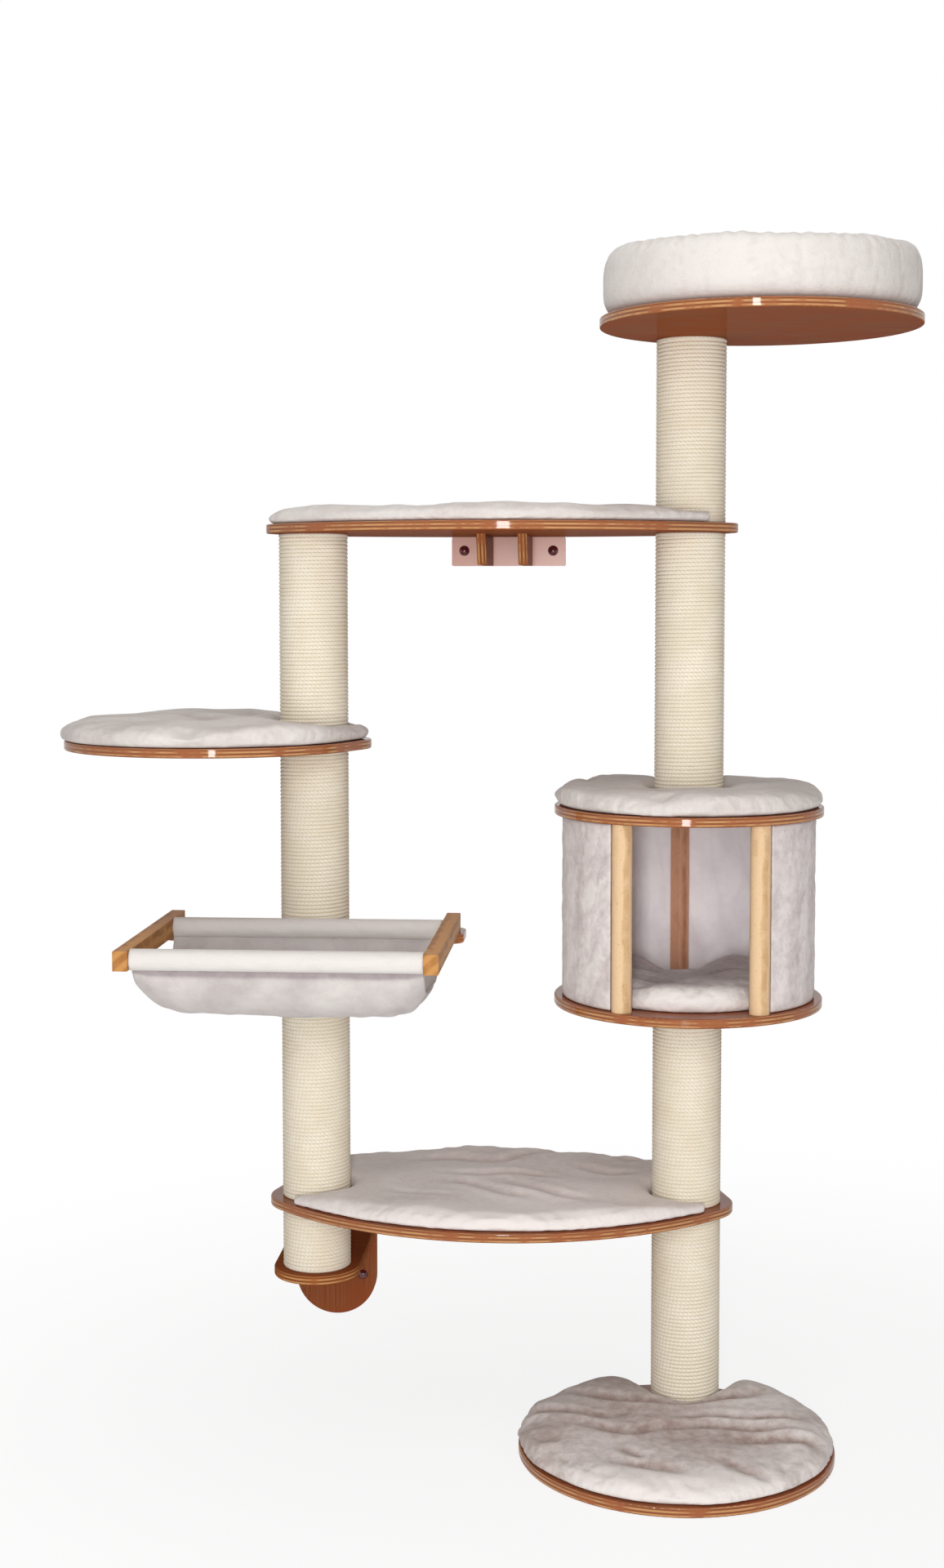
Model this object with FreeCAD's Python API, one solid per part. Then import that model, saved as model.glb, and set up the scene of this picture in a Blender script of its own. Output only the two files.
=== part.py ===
"""Wall mounted cat tree: two rope-wound posts carry plywood shelves, a cave, a hammock and a
round bed, and two wall plates hold them to the wall. Millimetres, +Z up, +X to the right,
+Y towards the wall. The origin is the centre of the base board's underside, on the floor."""

import FreeCAD, Part
import math
import os

Vec = FreeCAD.Vector

# ---- driving dimensions -------------------------------------------------------------------

# posts
post_spacing = 653.0
main_post_x = 20.0
post_in_from_base_edge = 75.0
rope_outer_r = 60.0
core_outer_r = 53.5
core_wall = 6.0
rope_gap = 0.2
foot_rope_turns = 15
rope_points_per_turn = 8
foot_rope_r = 3.05
foot_rope_end_gap = 2.0
plug_thickness = 26.0
plug_gap = 0.2
stud_r = 5.0
stud_length = 62.0
stud_gap = 0.2
bolt_head_r = 9.0
bolt_head_thickness = 4.0
bolt_length = 42.0
bolt_sink = 0.6

# boards and their heights, each the height of the board's underside
board = 16.0
board_round = 2.6
base_r = 264.0
foot_z = 232.0
foot_r = 76.0
lower_shelf_z = 359.0
cave_floor_z = 727.0
cave_roof_z = 1058.0
hammock_z = 832.0
left_shelf_z = 1169.0
upper_shelf_z = 1542.0
bed_z = 1870.0

# wall
wall_behind_post = 266.0
plate_thickness = 16.0
plate_corner = 3.0

# lens-shaped shelves, measured from the middle between the posts and from the posts' line
shelf_front_reach = 222.0
shelf_tip_r = 77.0
shelf_tip_x = 330.9
shelf_corner_r = 85.0
shelf_corner_x = 290.0
shelf_corner_y = 110.0
shelf_back_reach = 266.0

# egg-shaped shelf on the side post
egg_r = 262.0
egg_offset = 175.0
egg_nose_r = 100.0

# bed board and bed
bed_rim = 6.0
bed_offset_x = 107.0
bed_offset_y = -158.0
bolster_outer_r = 256.0
bolster_width = 96.0
bolster_height = 104.0
bolster_foot = 0.80
bolster_widest = 0.45
bolster_shoulder = 0.76
bolster_belly = 3.0
bolster_belly_drop = 6.0
bed_pad_thickness = 34.0
bed_pad_gap = 0.4

# cave
cave_r = 232.0
cave_dowel_r = 17.2
cave_dowel_x = 114.0
cave_dowel_y = -176.0
cave_back_side = 24.0
cave_back_x = -10.0
cave_back_y = 184.0
cave_wall_r = 218.0
cave_panel_thickness = 4.0
cave_plush_thickness = 4.0
cave_layer_gap = 0.2
cave_end_gap = 0.6

# hammock
hammock_half_width = 256.5
bar_width = 24.0
bar_height = 32.0
bar_length = 440.0
bar_back_y = 0.0
hammock_board_reach = 8.0
bar_screws_at = (0.3, 0.75)
hammock_board_half = 45.0
hammock_board_corner = 22.0
sling_dowel_r = 14.0
sling_cloth = 3.2
sling_dowel_gap = 0.4
front_dowel_in = 20.0
rear_dowel_in = 90.0
sling_sag = 93.0
# the sag at each share of the cloth's half length, as a share of the sag in the middle
sling_sag_shares = ((1.0, 0.42), (0.97, 0.68), (0.90, 0.88), (0.74, 0.97), (0.4, 1.0))
sling_end_gap = 0.6

# upper bracket
upper_plate_width = 210.0
upper_plate_height = 53.0
gusset_thickness = 16.0
gusset_offset = 36.0
gusset_reach = 230.0
gusset_slant = 35.0
upper_screw_spacing = 164.0
upper_screw_z = 28.0
gusset_screws_at = (0.3, 0.8)

# lower bracket
lower_plate_bottom = 72.0
lower_plate_top = 320.0
lower_screw_spacing = 100.0
wall_hole_r = 4.0
cap_r = 9.5
cap_height = 6.0

# wood screws
screw_r = 2.0
screw_head_r = 4.2
screw_head_thickness = 2.4
screw_length = 40.0
screw_gap = 0.15
screw_sink = 0.4

# cushions
cushion_lift = 0.3
notch_gap = 4.0
crown_r = 9000.0
lower_cushion_thickness = 25.0
upper_cushion_thickness = 28.0
lens_cushion_in = 6.0
lens_cushion_roll = 8.0
lens_lobe_r = 11.0
lens_lobe_x = 21.5
lens_lobe_y = -72.0
lens_back_r = 60.0
lens_back_x = 60.0
lens_back_y = 135.0
lens_back_reach = 252.0
left_cushion_thickness = 36.0
left_cushion_roll = 15.0
left_cushion_over = 2.0
left_cushion_shift = 6.0
left_cushion_nose_r = 92.0
left_lobe_r = 14.0
left_lobe_turn = 60.0
left_slot_r = 30.0
left_slot_x = -98.0
base_cushion_thickness = 28.0
base_cushion_in = 5.0
base_cushion_roll = 18.0
base_left_lobe_r = 50.0
base_left_lobe_turn = 121.6
base_right_lobe_r = 26.0
base_right_lobe_turn = 56.5
roof_cushion_thickness = 36.0
roof_cushion_in = 2.0
roof_cushion_roll = 15.0
roof_lobe_r = 30.0
roof_lobe_turn = 60.0
floor_cushion_thickness = 44.0
floor_cushion_r = 176.0
floor_cushion_forward = 14.0
floor_cushion_roll = 20.0
pad_roll = 14.0
# how far in a cushion's side lies, as a share of its roll, at each share of its thickness
cushion_sides = ((0.45, 0.0), (0.0, 0.34), (0.12, 0.62), (0.42, 0.86), (1.0, 1.0))

# drawing
arc_limit = 2.0
shortest_edge = 0.01

# ---- places worked out from them ----------------------------------------------------------

side_post_x = main_post_x - post_spacing
middle_x = main_post_x - post_spacing / 2
post_y = base_r - post_in_from_base_edge
wall_y = post_y + wall_behind_post
plate_front_y = wall_y - plate_thickness
core_inner_r = core_outer_r - core_wall
rope_inner_r = core_outer_r + rope_gap
notch_r = rope_outer_r + notch_gap
MAIN = Vec(main_post_x, post_y, 0)
SIDE = Vec(side_post_x, post_y, 0)
UP = Vec(0, 0, 1)
BACK = Vec(0, 1, 0)
MAIN_SEGMENTS = (
    ("base", board, lower_shelf_z),
    ("middle", lower_shelf_z + board, cave_floor_z),
    ("upper", cave_roof_z + board, upper_shelf_z),
    ("top", upper_shelf_z + board, bed_z),
)
SIDE_SEGMENTS = (
    ("foot", foot_z + board, lower_shelf_z),
    ("lower", lower_shelf_z + board, hammock_z),
    ("middle", hammock_z + board, left_shelf_z),
    ("upper", left_shelf_z + board, upper_shelf_z),
)
# studs join two segments through a board, bolts end a post; +1 means the head is on top
STUD_PLACES = (
    (MAIN, lower_shelf_z),
    (MAIN, upper_shelf_z),
    (SIDE, lower_shelf_z),
    (SIDE, hammock_z),
    (SIDE, left_shelf_z),
)
BOLT_PLACES = (
    (MAIN, 0.0, -1),
    (MAIN, cave_floor_z, 1),
    (MAIN, cave_roof_z, -1),
    (MAIN, bed_z, 1),
    (SIDE, foot_z, -1),
    (SIDE, upper_shelf_z, 1),
)


# ---- helpers ------------------------------------------------------------------------------


def cylinder(radius, z0, z1, at):
    return Part.makeCylinder(radius, z1 - z0, Vec(at.x, at.y, z0), UP)


def box(x0, x1, y0, y1, z0, z1):
    return Part.makeBox(x1 - x0, y1 - y0, z1 - z0, Vec(x0, y0, z0))


def arc_points(centre, radius, start, turn, z):
    """Points along an arc, two for each piece of under a third of a circle."""
    pieces_of_arc = max(1, math.ceil(abs(turn) / arc_limit))
    points = []
    for i in range(2 * pieces_of_arc + 1):
        angle = start + turn * i / (2 * pieces_of_arc)
        x = centre[0] + radius * math.cos(angle)
        points.append(Vec(x, centre[1] + radius * math.sin(angle), z))
    return points


def arcs_through(points):
    return [
        Part.Arc(points[i], points[i + 1], points[i + 2]).toShape()
        for i in range(0, len(points) - 2, 2)
    ]


def band(discs, z, inset=0.0):
    """The outline of a taut band laid counter-clockwise round discs (x, y, radius). A disc
    with a negative radius is a hollow: the band runs round it the other way."""
    rounds = [(x, y, r - inset) for x, y, r in discs]
    count = len(rounds)
    if count == 1:
        points = arc_points(rounds[0], rounds[0][2], 0.0, 2 * math.pi, z)
        points[-1] = points[0]
        return Part.Wire(arcs_through(points))
    normals = []
    for i in range(count):
        x1, y1, r1 = rounds[i]
        x2, y2, r2 = rounds[(i + 1) % count]
        span = math.hypot(x2 - x1, y2 - y1)
        lean = math.acos(max(-1.0, min(1.0, (r1 - r2) / span)))
        normals.append(math.atan2(y2 - y1, x2 - x1) - lean)
    runs = []
    for i in range(count):
        way = 1 if rounds[i][2] > 0 else -1
        turn = way * ((way * (normals[i] - normals[i - 1])) % (2 * math.pi))
        runs.append(arc_points(rounds[i], rounds[i][2], normals[i - 1], turn, z))
    edges = []
    for i in range(count):
        before = runs[i - 1][-1]
        if before.distanceToPoint(runs[i][0]) < shortest_edge:
            runs[i][0] = before
    for i in range(count):
        edges += arcs_through(runs[i])
        after = runs[(i + 1) % count][0]
        if runs[i][-1].distanceToPoint(after) >= shortest_edge:
            edges.append(Part.makeLine(runs[i][-1], after))
    return Part.Wire(edges)


def bow(half_span, reach, end_r):
    """The arc that touches two discs of end_r, half_span each side of its middle, and
    reaches out past their line by reach: its radius and how far behind the line it is centred."""
    rise = reach - end_r
    behind = (half_span**2 - rise**2) / (2 * rise)
    return reach + behind, behind


def plank(discs, z):
    """A plywood board inside a band, with its long edges rounded over."""
    solid = Part.Face(band(discs, z)).extrude(UP * board)
    rims = [e for e in solid.Edges if abs(e.Vertexes[0].Z - e.Vertexes[-1].Z) < board / 2]
    return solid.makeFillet(board_round, rims)


def drilled(solid, at, z):
    """A board with the hole of a post's stud or bolt, and the recess of a bolt's head."""
    solid = solid.cut(cylinder(stud_r + stud_gap, z - board, z + 2 * board, at))
    for place, bolt_z, side in BOLT_PLACES:
        if place is at and bolt_z == z:
            depth = bolt_head_thickness + bolt_sink
            low = z + board - depth if side > 0 else z
            head = bolt_head_r + stud_gap
            solid = solid.cut(cylinder(head, low, low + depth, at))
    return solid


def cushion(discs, z, thickness, roll):
    """A plump cushion: its sides are drawn in below, roll over above and carry a crown."""
    base = z + cushion_lift
    wires = [
        band(discs, base + share * thickness, drawn * roll) for drawn, share in cushion_sides
    ]
    solid = Part.makeLoft(wires, True, False)
    middle = solid.BoundBox.Center
    ball = Part.makeSphere(crown_r, Vec(middle.x, middle.y, base + thickness - crown_r))
    return solid.common(ball)


def at_turn(centre, distance, degrees):
    """The point at a distance from a centre, turned from +X towards +Y."""
    angle = math.radians(degrees)
    return centre.x + distance * math.cos(angle), centre.y + distance * math.sin(angle)


def screw(head, direction, length=screw_length):
    """A countersunk wood screw, drawn as a shank and a flat head sunk at the point head."""
    top = head + direction * screw_sink
    shank = Part.makeCylinder(screw_r, length, top, direction)
    return shank.fuse(Part.makeCylinder(screw_head_r, screw_head_thickness, top, direction))


def screw_hole(head, direction, length=screw_length):
    depth = screw_head_thickness + screw_sink
    shank = Part.makeCylinder(screw_r + screw_gap, length + screw_sink, head, direction)
    recess = Part.makeCylinder(screw_head_r + screw_gap, depth, head, direction)
    return shank.fuse(recess)


def with_holes(solid, places, length=screw_length):
    for head, direction in places:
        solid = solid.cut(screw_hole(head, direction, length))
    return solid


def group(solids):
    return Part.makeCompound(list(solids))


# ---- outlines -----------------------------------------------------------------------------


def shelf_discs():
    """The lens shelves: a bowed front, round tips at the posts and a shallow bow at the wall."""
    front_r, front_behind = bow(shelf_tip_x, shelf_front_reach, shelf_tip_r)
    back_reach = shelf_back_reach - shelf_corner_y
    back_r, back_behind = bow(shelf_corner_x, back_reach, shelf_corner_r)
    corner_y = post_y + shelf_corner_y
    return [
        (middle_x, post_y + front_behind, front_r),
        (middle_x + shelf_tip_x, post_y, shelf_tip_r),
        (middle_x + shelf_corner_x, corner_y, shelf_corner_r),
        (middle_x, corner_y - back_behind, back_r),
        (middle_x - shelf_corner_x, corner_y, shelf_corner_r),
        (middle_x - shelf_tip_x, post_y, shelf_tip_r),
    ]


def egg_discs():
    return [(side_post_x - egg_offset, post_y, egg_r), (side_post_x, post_y, egg_nose_r)]


def bed_r():
    return bolster_outer_r + bed_rim


def bed_centre():
    return Vec(main_post_x + bed_offset_x, post_y + bed_offset_y, 0)


def lens_cushion_discs(side_end):
    """Like the shelf, a little smaller, hollowed round a post with a tip in front of it."""
    front_r, front_behind = bow(shelf_tip_x, shelf_front_reach, shelf_tip_r)
    back_x = post_spacing / 2 - lens_back_x
    back_r, back_behind = bow(back_x, lens_back_reach - lens_back_y, lens_back_r)
    discs = [
        (middle_x, post_y + front_behind, front_r - lens_cushion_in),
        (main_post_x + lens_lobe_x, post_y + lens_lobe_y, lens_lobe_r),
        (main_post_x, post_y, -notch_r),
        (middle_x + back_x, post_y + lens_back_y, lens_back_r),
        (middle_x, post_y + lens_back_y - back_behind, back_r),
        (middle_x - back_x, post_y + lens_back_y, lens_back_r),
    ]
    if side_end == "hollow":
        discs.append((side_post_x, post_y, -notch_r))
        discs.append((side_post_x - lens_lobe_x, post_y + lens_lobe_y, lens_lobe_r))
    else:
        discs.append((middle_x - shelf_tip_x, post_y, shelf_tip_r - lens_cushion_in))
    return discs


def left_cushion_discs():
    """The egg again, with a slot from the back that lets the side post through."""
    big_x = side_post_x - egg_offset - left_cushion_shift
    big_r = egg_r + left_cushion_over
    lobe = at_turn(SIDE, left_cushion_nose_r - left_lobe_r, left_lobe_turn)
    slot_x = side_post_x + left_slot_x
    slot_y = post_y + math.sqrt((big_r - left_slot_r) ** 2 - (slot_x - big_x) ** 2)
    return [
        (big_x, post_y, big_r),
        (side_post_x, post_y, left_cushion_nose_r),
        (lobe[0], lobe[1], left_lobe_r),
        (side_post_x, post_y, -notch_r),
        (slot_x, slot_y, left_slot_r),
    ]


def hollowed_discs(centre, radius, lobes):
    """A disc hollowed from the back round the main post, with a round lobe at each side."""
    discs = [(centre.x, centre.y, radius)]
    (right_r, right_turn), (left_r, left_turn) = lobes
    right = at_turn(centre, radius - right_r, right_turn)
    left = at_turn(centre, radius - left_r, left_turn)
    discs.append((right[0], right[1], right_r))
    discs.append((main_post_x, post_y, -notch_r))
    discs.append((left[0], left[1], left_r))
    return discs


# ---- where the wood screws go -------------------------------------------------------------


def cave_post_places():
    left = Vec(main_post_x - cave_dowel_x, post_y + cave_dowel_y, 0)
    right = Vec(main_post_x + cave_dowel_x, post_y + cave_dowel_y, 0)
    return left, right, Vec(main_post_x + cave_back_x, post_y + cave_back_y, 0)


def cave_screw_places():
    places = []
    for at in cave_post_places():
        places.append((Vec(at.x, at.y, cave_floor_z), UP))
        places.append((Vec(at.x, at.y, cave_roof_z + board), -UP))
    return places


def gusset_x():
    return middle_x - gusset_offset, middle_x + gusset_offset


def bracket_plate_screws():
    z = upper_shelf_z - upper_plate_height / 2
    return [(Vec(x, wall_y, z), -BACK) for x in gusset_x()]


def bracket_shelf_screws():
    top = upper_shelf_z + board
    deep = plate_front_y - gusset_reach
    places = []
    for x in gusset_x():
        for share in gusset_screws_at:
            places.append((Vec(x, deep + share * gusset_reach, top), -UP))
    return places


def foot_screw_places():
    z = foot_z + board / 2
    return [(Vec(side_post_x + side * foot_r / 2, wall_y, z), -BACK) for side in (-1, 1)]


def bar_centre_x(side):
    return side_post_x + side * (hammock_half_width - bar_width / 2)


def hammock_board_screws():
    """Two screws up through the mounting board into the back of each bar."""
    y0 = post_y + bar_back_y
    y1 = post_y - hammock_board_half
    places = []
    for side in (-1, 1):
        for share in bar_screws_at:
            x = bar_centre_x(side)
            places.append((Vec(x, y0 + share * (y1 - y0), hammock_z), UP))
    return places


def dowel_y(which):
    if which == "front":
        return post_y + bar_back_y - bar_length + front_dowel_in
    return post_y + bar_back_y - rear_dowel_in


def dowel_z():
    return hammock_z + board + bar_height / 2


def dowel_screw_places():
    places = []
    for side in (-1, 1):
        for which in ("front", "rear"):
            head = Vec(side_post_x + side * hammock_half_width, dowel_y(which), dowel_z())
            places.append((head, Vec(-side, 0, 0)))
    return places


# ---- the boards ---------------------------------------------------------------------------


def base_board():
    return drilled(plank([(0.0, 0.0, base_r)], 0.0), MAIN, 0.0)


def foot_board():
    """A round foot under the side post that runs straight back to the wall plate."""
    solid = Part.Face(band([(side_post_x, post_y, foot_r)], foot_z)).extrude(UP * board)
    tongue = box(
        side_post_x - foot_r, side_post_x + foot_r, post_y, plate_front_y, foot_z, foot_z + board
    )
    solid = solid.fuse(tongue).removeSplitter()
    rims = []
    for edge in solid.Edges:
        level = abs(edge.Vertexes[0].Z - edge.Vertexes[-1].Z) < board / 2
        at_wall = edge.BoundBox.YMin > plate_front_y - 1
        if level and not at_wall:
            rims.append(edge)
    solid = drilled(solid.makeFillet(board_round, rims), SIDE, foot_z)
    return with_holes(solid, foot_screw_places())


def lower_shelf_board():
    solid = plank(shelf_discs(), lower_shelf_z)
    return drilled(drilled(solid, MAIN, lower_shelf_z), SIDE, lower_shelf_z)


def upper_shelf_board():
    solid = plank(shelf_discs(), upper_shelf_z)
    solid = drilled(drilled(solid, MAIN, upper_shelf_z), SIDE, upper_shelf_z)
    return with_holes(solid, bracket_shelf_screws())


def cave_board(z):
    solid = drilled(plank([(main_post_x, post_y, cave_r)], z), MAIN, z)
    return with_holes(solid, cave_screw_places())


def left_shelf_board():
    return drilled(plank(egg_discs(), left_shelf_z), SIDE, left_shelf_z)


def bed_board():
    at = bed_centre()
    return drilled(plank([(at.x, at.y, bed_r())], bed_z), MAIN, bed_z)


def hammock_board():
    reach = hammock_half_width + hammock_board_reach - hammock_board_corner
    deep = hammock_board_half - hammock_board_corner
    corners = ((-reach, -deep), (reach, -deep), (reach, deep), (-reach, deep))
    discs = [(side_post_x + x, post_y + y, hammock_board_corner) for x, y in corners]
    solid = drilled(plank(discs, hammock_z), SIDE, hammock_z)
    return with_holes(solid, hammock_board_screws())


# ---- the posts ----------------------------------------------------------------------------


def core(at, z0, z1):
    return cylinder(core_outer_r, z0, z1, at).cut(cylinder(core_inner_r, z0, z1, at))


def rope_sleeve(at, z0, z1):
    return cylinder(rope_outer_r, z0, z1, at).cut(cylinder(rope_inner_r, z0, z1, at))


def arc_to(start, heading, end):
    """The arc that leaves start along heading and reaches end."""
    chord = end - start
    half = chord.Length / 2
    across = chord.normalize()
    lean = heading - across * heading.dot(across)
    angle = math.atan2(lean.Length, heading.dot(across))
    top = (start + end) * 0.5 + lean.normalize() * half * math.tan(angle / 2)
    return Part.Arc(start, top, end).toShape()


def foot_rope(at, z0, z1):
    """The short foot's winding as one tube: a helix laid as two arcs per quarter turn."""
    path_r = rope_outer_r - foot_rope_r
    low = z0 + foot_rope_r + foot_rope_end_gap
    climb = z1 - z0 - 2 * (foot_rope_r + foot_rope_end_gap)
    quarters = 4 * foot_rope_turns
    rate = climb / (foot_rope_turns * 2 * math.pi)
    places = []
    headings = []
    for i in range(quarters + 1):
        angle = i * math.pi / 2
        places.append(
            Vec(
                at.x + path_r * math.cos(angle),
                at.y + path_r * math.sin(angle),
                low + rate * angle,
            )
        )
        way = Vec(-path_r * math.sin(angle), path_r * math.cos(angle), rate)
        headings.append(way.normalize())
    edges = []
    for i in range(quarters):
        step = places[i + 1] - places[i]
        both = headings[i] + headings[i + 1]
        spread = 2 * (1 - headings[i].dot(headings[i + 1]))
        along = step.dot(both)
        reach = (math.sqrt(along**2 + spread * step.dot(step)) - along) / spread
        joint = (places[i] + places[i + 1] + (headings[i] - headings[i + 1]) * reach) * 0.5
        edges.append(arc_to(places[i], headings[i], joint))
        turned = (joint - places[i] - headings[i] * reach).normalize()
        edges.append(arc_to(joint, turned, places[i + 1]))
    path = Part.Wire(edges)
    ring = Part.Wire(Part.makeCircle(foot_rope_r, places[0], headings[0]))
    pitch = climb / foot_rope_turns
    points = [e.valueAt(e.FirstParameter) for e in edges]
    turn = rope_points_per_turn
    least = min(points[i].distanceToPoint(points[i + turn]) for i in range(len(points) - turn))
    print(f"foot rope: pitch {pitch:.2f}, least gap to itself {least - 2 * foot_rope_r:.2f} mm")
    return Part.Solid(path.makePipeShell([ring], True, False))


def plug(at, z0):
    """A wooden plug inside a core's end, bored for its stud or bolt."""
    solid = cylinder(core_inner_r - plug_gap, z0, z0 + plug_thickness, at)
    return solid.cut(cylinder(stud_r + stud_gap, z0 - 1, z0 + plug_thickness + 1, at))


def plugs(at, segments):
    solids = []
    for _, z0, z1 in segments:
        solids += [plug(at, z0), plug(at, z1 - plug_thickness)]
    return group(solids)


def joining_studs():
    middle = board / 2 - stud_length / 2
    return group(
        cylinder(stud_r, z + middle, z + middle + stud_length, at) for at, z in STUD_PLACES
    )


def end_bolts():
    solids = []
    for at, z, side in BOLT_PLACES:
        face = z + board - bolt_sink if side > 0 else z + bolt_sink
        head_end = face - side * bolt_head_thickness
        shank_end = face - side * bolt_length
        head = cylinder(bolt_head_r, min(face, head_end), max(face, head_end), at)
        shank = cylinder(stud_r, min(face, shank_end), max(face, shank_end), at)
        solids.append(head.fuse(shank).removeSplitter())
    return group(solids)


# ---- the cave -----------------------------------------------------------------------------


def cave_dowel(at):
    low = cave_floor_z + board
    return with_holes(cylinder(cave_dowel_r, low, cave_roof_z, at), cave_screw_places())


def cave_back_post():
    """A square post set corner forwards at the back of the cave."""
    at = cave_post_places()[2]
    half = cave_back_side / 2
    low = cave_floor_z + board
    solid = box(at.x - half, at.x + half, at.y - half, at.y + half, low, cave_roof_z)
    upright = [e for e in solid.Edges if abs(e.Vertexes[0].Z - e.Vertexes[-1].Z) > board]
    solid = solid.makeFillet(board_round / 2, upright)
    solid.rotate(at, UP, 45)
    return with_holes(solid, cave_screw_places())


def cave_shell(outer_r, thickness):
    """A bent sheet from one front dowel round the back to the other."""
    away = cave_dowel_r + cave_end_gap
    dowel_r = math.hypot(cave_dowel_x, cave_dowel_y)
    dowel_at = math.atan2(cave_dowel_y, cave_dowel_x)
    start = dowel_at + 2 * math.asin(away / (2 * dowel_r))
    turn = math.pi - 2 * start
    low = cave_floor_z + board
    centre = (main_post_x, post_y)
    inner_r = outer_r - thickness
    outer = arc_points(centre, outer_r, start, turn, low)
    inner = arc_points(centre, inner_r, start + turn, -turn, low)
    last = Part.makeLine(outer[-1], inner[0])
    first = Part.makeLine(inner[-1], outer[0])
    wire = Part.Wire(arcs_through(outer) + [last] + arcs_through(inner) + [first])
    return Part.Face(wire).extrude(UP * (cave_roof_z - low))


def panel_outer_r():
    return cave_wall_r - cave_plush_thickness - cave_layer_gap


# ---- the hammock --------------------------------------------------------------------------


def hammock_bar(side):
    x = bar_centre_x(side)
    low = hammock_z + board
    y1 = post_y + bar_back_y
    half = bar_width / 2
    solid = box(x - half, x + half, y1 - bar_length, y1, low, low + bar_height)
    long_edges = [e for e in solid.Edges if e.Length > bar_length / 2]
    solid = solid.makeFillet(board_round / 2, long_edges)
    return with_holes(solid, hammock_board_screws() + dowel_screw_places())


def sling_dowel(which):
    reach = hammock_half_width - bar_width
    start = Vec(side_post_x - reach, dowel_y(which), dowel_z())
    solid = Part.makeCylinder(sling_dowel_r, 2 * reach, start, Vec(1, 0, 0))
    return with_holes(solid, dowel_screw_places())


def sling_section(x, sag):
    """The hanging cloth cut across at x: two arcs, a cloth's thickness apart."""
    roll = sling_dowel_r + sling_dowel_gap + sling_cloth
    y0 = dowel_y("front")
    y1 = dowel_y("rear")
    level = dowel_z() - roll + sling_cloth
    middle = (y0 + y1) / 2
    upper = Part.Arc(Vec(x, y0, level), Vec(x, middle, level - sag), Vec(x, y1, level))
    below = level - sling_cloth
    lower = Part.Arc(Vec(x, y1, below), Vec(x, middle, below - sag), Vec(x, y0, below))
    back = Part.makeLine(Vec(x, y1, level), Vec(x, y1, below))
    front = Part.makeLine(Vec(x, y0, below), Vec(x, y0, level))
    return Part.Wire([upper.toShape(), back, lower.toShape(), front])


def sling():
    """Cloth hung from two tunnels, deep between them and drawn up at both ends."""
    reach = hammock_half_width - bar_width - sling_end_gap
    stations = [(-share, sag) for share, sag in sling_sag_shares]
    stations += [(share, sag) for share, sag in reversed(sling_sag_shares)]
    wires = [
        sling_section(side_post_x + share * reach, sag * sling_sag) for share, sag in stations
    ]
    solid = Part.makeLoft(wires, True, True)
    bore = sling_dowel_r + sling_dowel_gap
    for which in ("front", "rear"):
        start = Vec(side_post_x - reach, dowel_y(which), dowel_z())
        roll = Part.makeCylinder(bore + sling_cloth, 2 * reach, start, Vec(1, 0, 0))
        solid = solid.fuse(roll)
    for which in ("front", "rear"):
        start = Vec(side_post_x - reach, dowel_y(which), dowel_z())
        solid = solid.cut(Part.makeCylinder(bore, 2 * reach, start, Vec(1, 0, 0)))
    return solid


# ---- the wall brackets --------------------------------------------------------------------


def wall_holes(x, z, spacing):
    holes = []
    for side in (-1, 1):
        start = Vec(x + side * spacing / 2, plate_front_y - 1, z)
        holes.append(Part.makeCylinder(wall_hole_r, plate_thickness + 2, start, BACK))
    return holes


def upper_screw_height():
    return upper_shelf_z - upper_plate_height + upper_screw_z


def lower_screw_height():
    return lower_plate_bottom + foot_r


def upper_wall_plate():
    half = upper_plate_width / 2
    low = upper_shelf_z - upper_plate_height
    solid = box(
        middle_x - half, middle_x + half, plate_front_y, wall_y, low, upper_shelf_z
    )
    upright = [e for e in solid.Edges if abs(e.Vertexes[0].Y - e.Vertexes[-1].Y) > 1]
    solid = solid.makeFillet(plate_corner, upright)
    for hole in wall_holes(middle_x, upper_screw_height(), upper_screw_spacing):
        solid = solid.cut(hole)
    return with_holes(solid, bracket_plate_screws())


def lower_wall_plate():
    """A tall plate with a half round foot, behind the side post's foot board."""
    centre_z = lower_screw_height()
    start = Vec(side_post_x, plate_front_y, centre_z)
    foot = Part.makeCylinder(foot_r, plate_thickness, start, BACK)
    body = box(
        side_post_x - foot_r, side_post_x + foot_r, plate_front_y, wall_y, centre_z,
        lower_plate_top,
    )
    solid = foot.fuse(body).removeSplitter()
    for hole in wall_holes(side_post_x, centre_z, lower_screw_spacing):
        solid = solid.cut(hole)
    return with_holes(solid, foot_screw_places())


def gusset(x):
    """A bracket web under the shelf, whose front edge leans back towards its foot."""
    front = plate_front_y - gusset_reach
    low = upper_shelf_z - upper_plate_height
    left = x - gusset_thickness / 2
    points = [
        Vec(left, plate_front_y, low),
        Vec(left, plate_front_y, upper_shelf_z),
        Vec(left, front, upper_shelf_z),
        Vec(left, front + gusset_slant, low),
    ]
    face = Part.Face(Part.makePolygon(points + points[:1]))
    solid = face.extrude(Vec(gusset_thickness, 0, 0))
    return with_holes(solid, bracket_plate_screws() + bracket_shelf_screws())


def screw_caps(x, z, spacing):
    """Domed caps that hide the wall screws, standing on the plate's face."""
    sphere_r = (cap_r**2 + cap_height**2) / (2 * cap_height)
    solids = []
    for side in (-1, 1):
        at = Vec(x + side * spacing / 2, plate_front_y + sphere_r - cap_height, z)
        ball = Part.makeSphere(sphere_r, at)
        front = Vec(at.x, plate_front_y - cap_height - 1, z)
        keep = Part.makeCylinder(sphere_r, cap_height + 1, front, BACK)
        solids.append(ball.common(keep))
    return group(solids)


# ---- bed and cushions ---------------------------------------------------------------------


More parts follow.
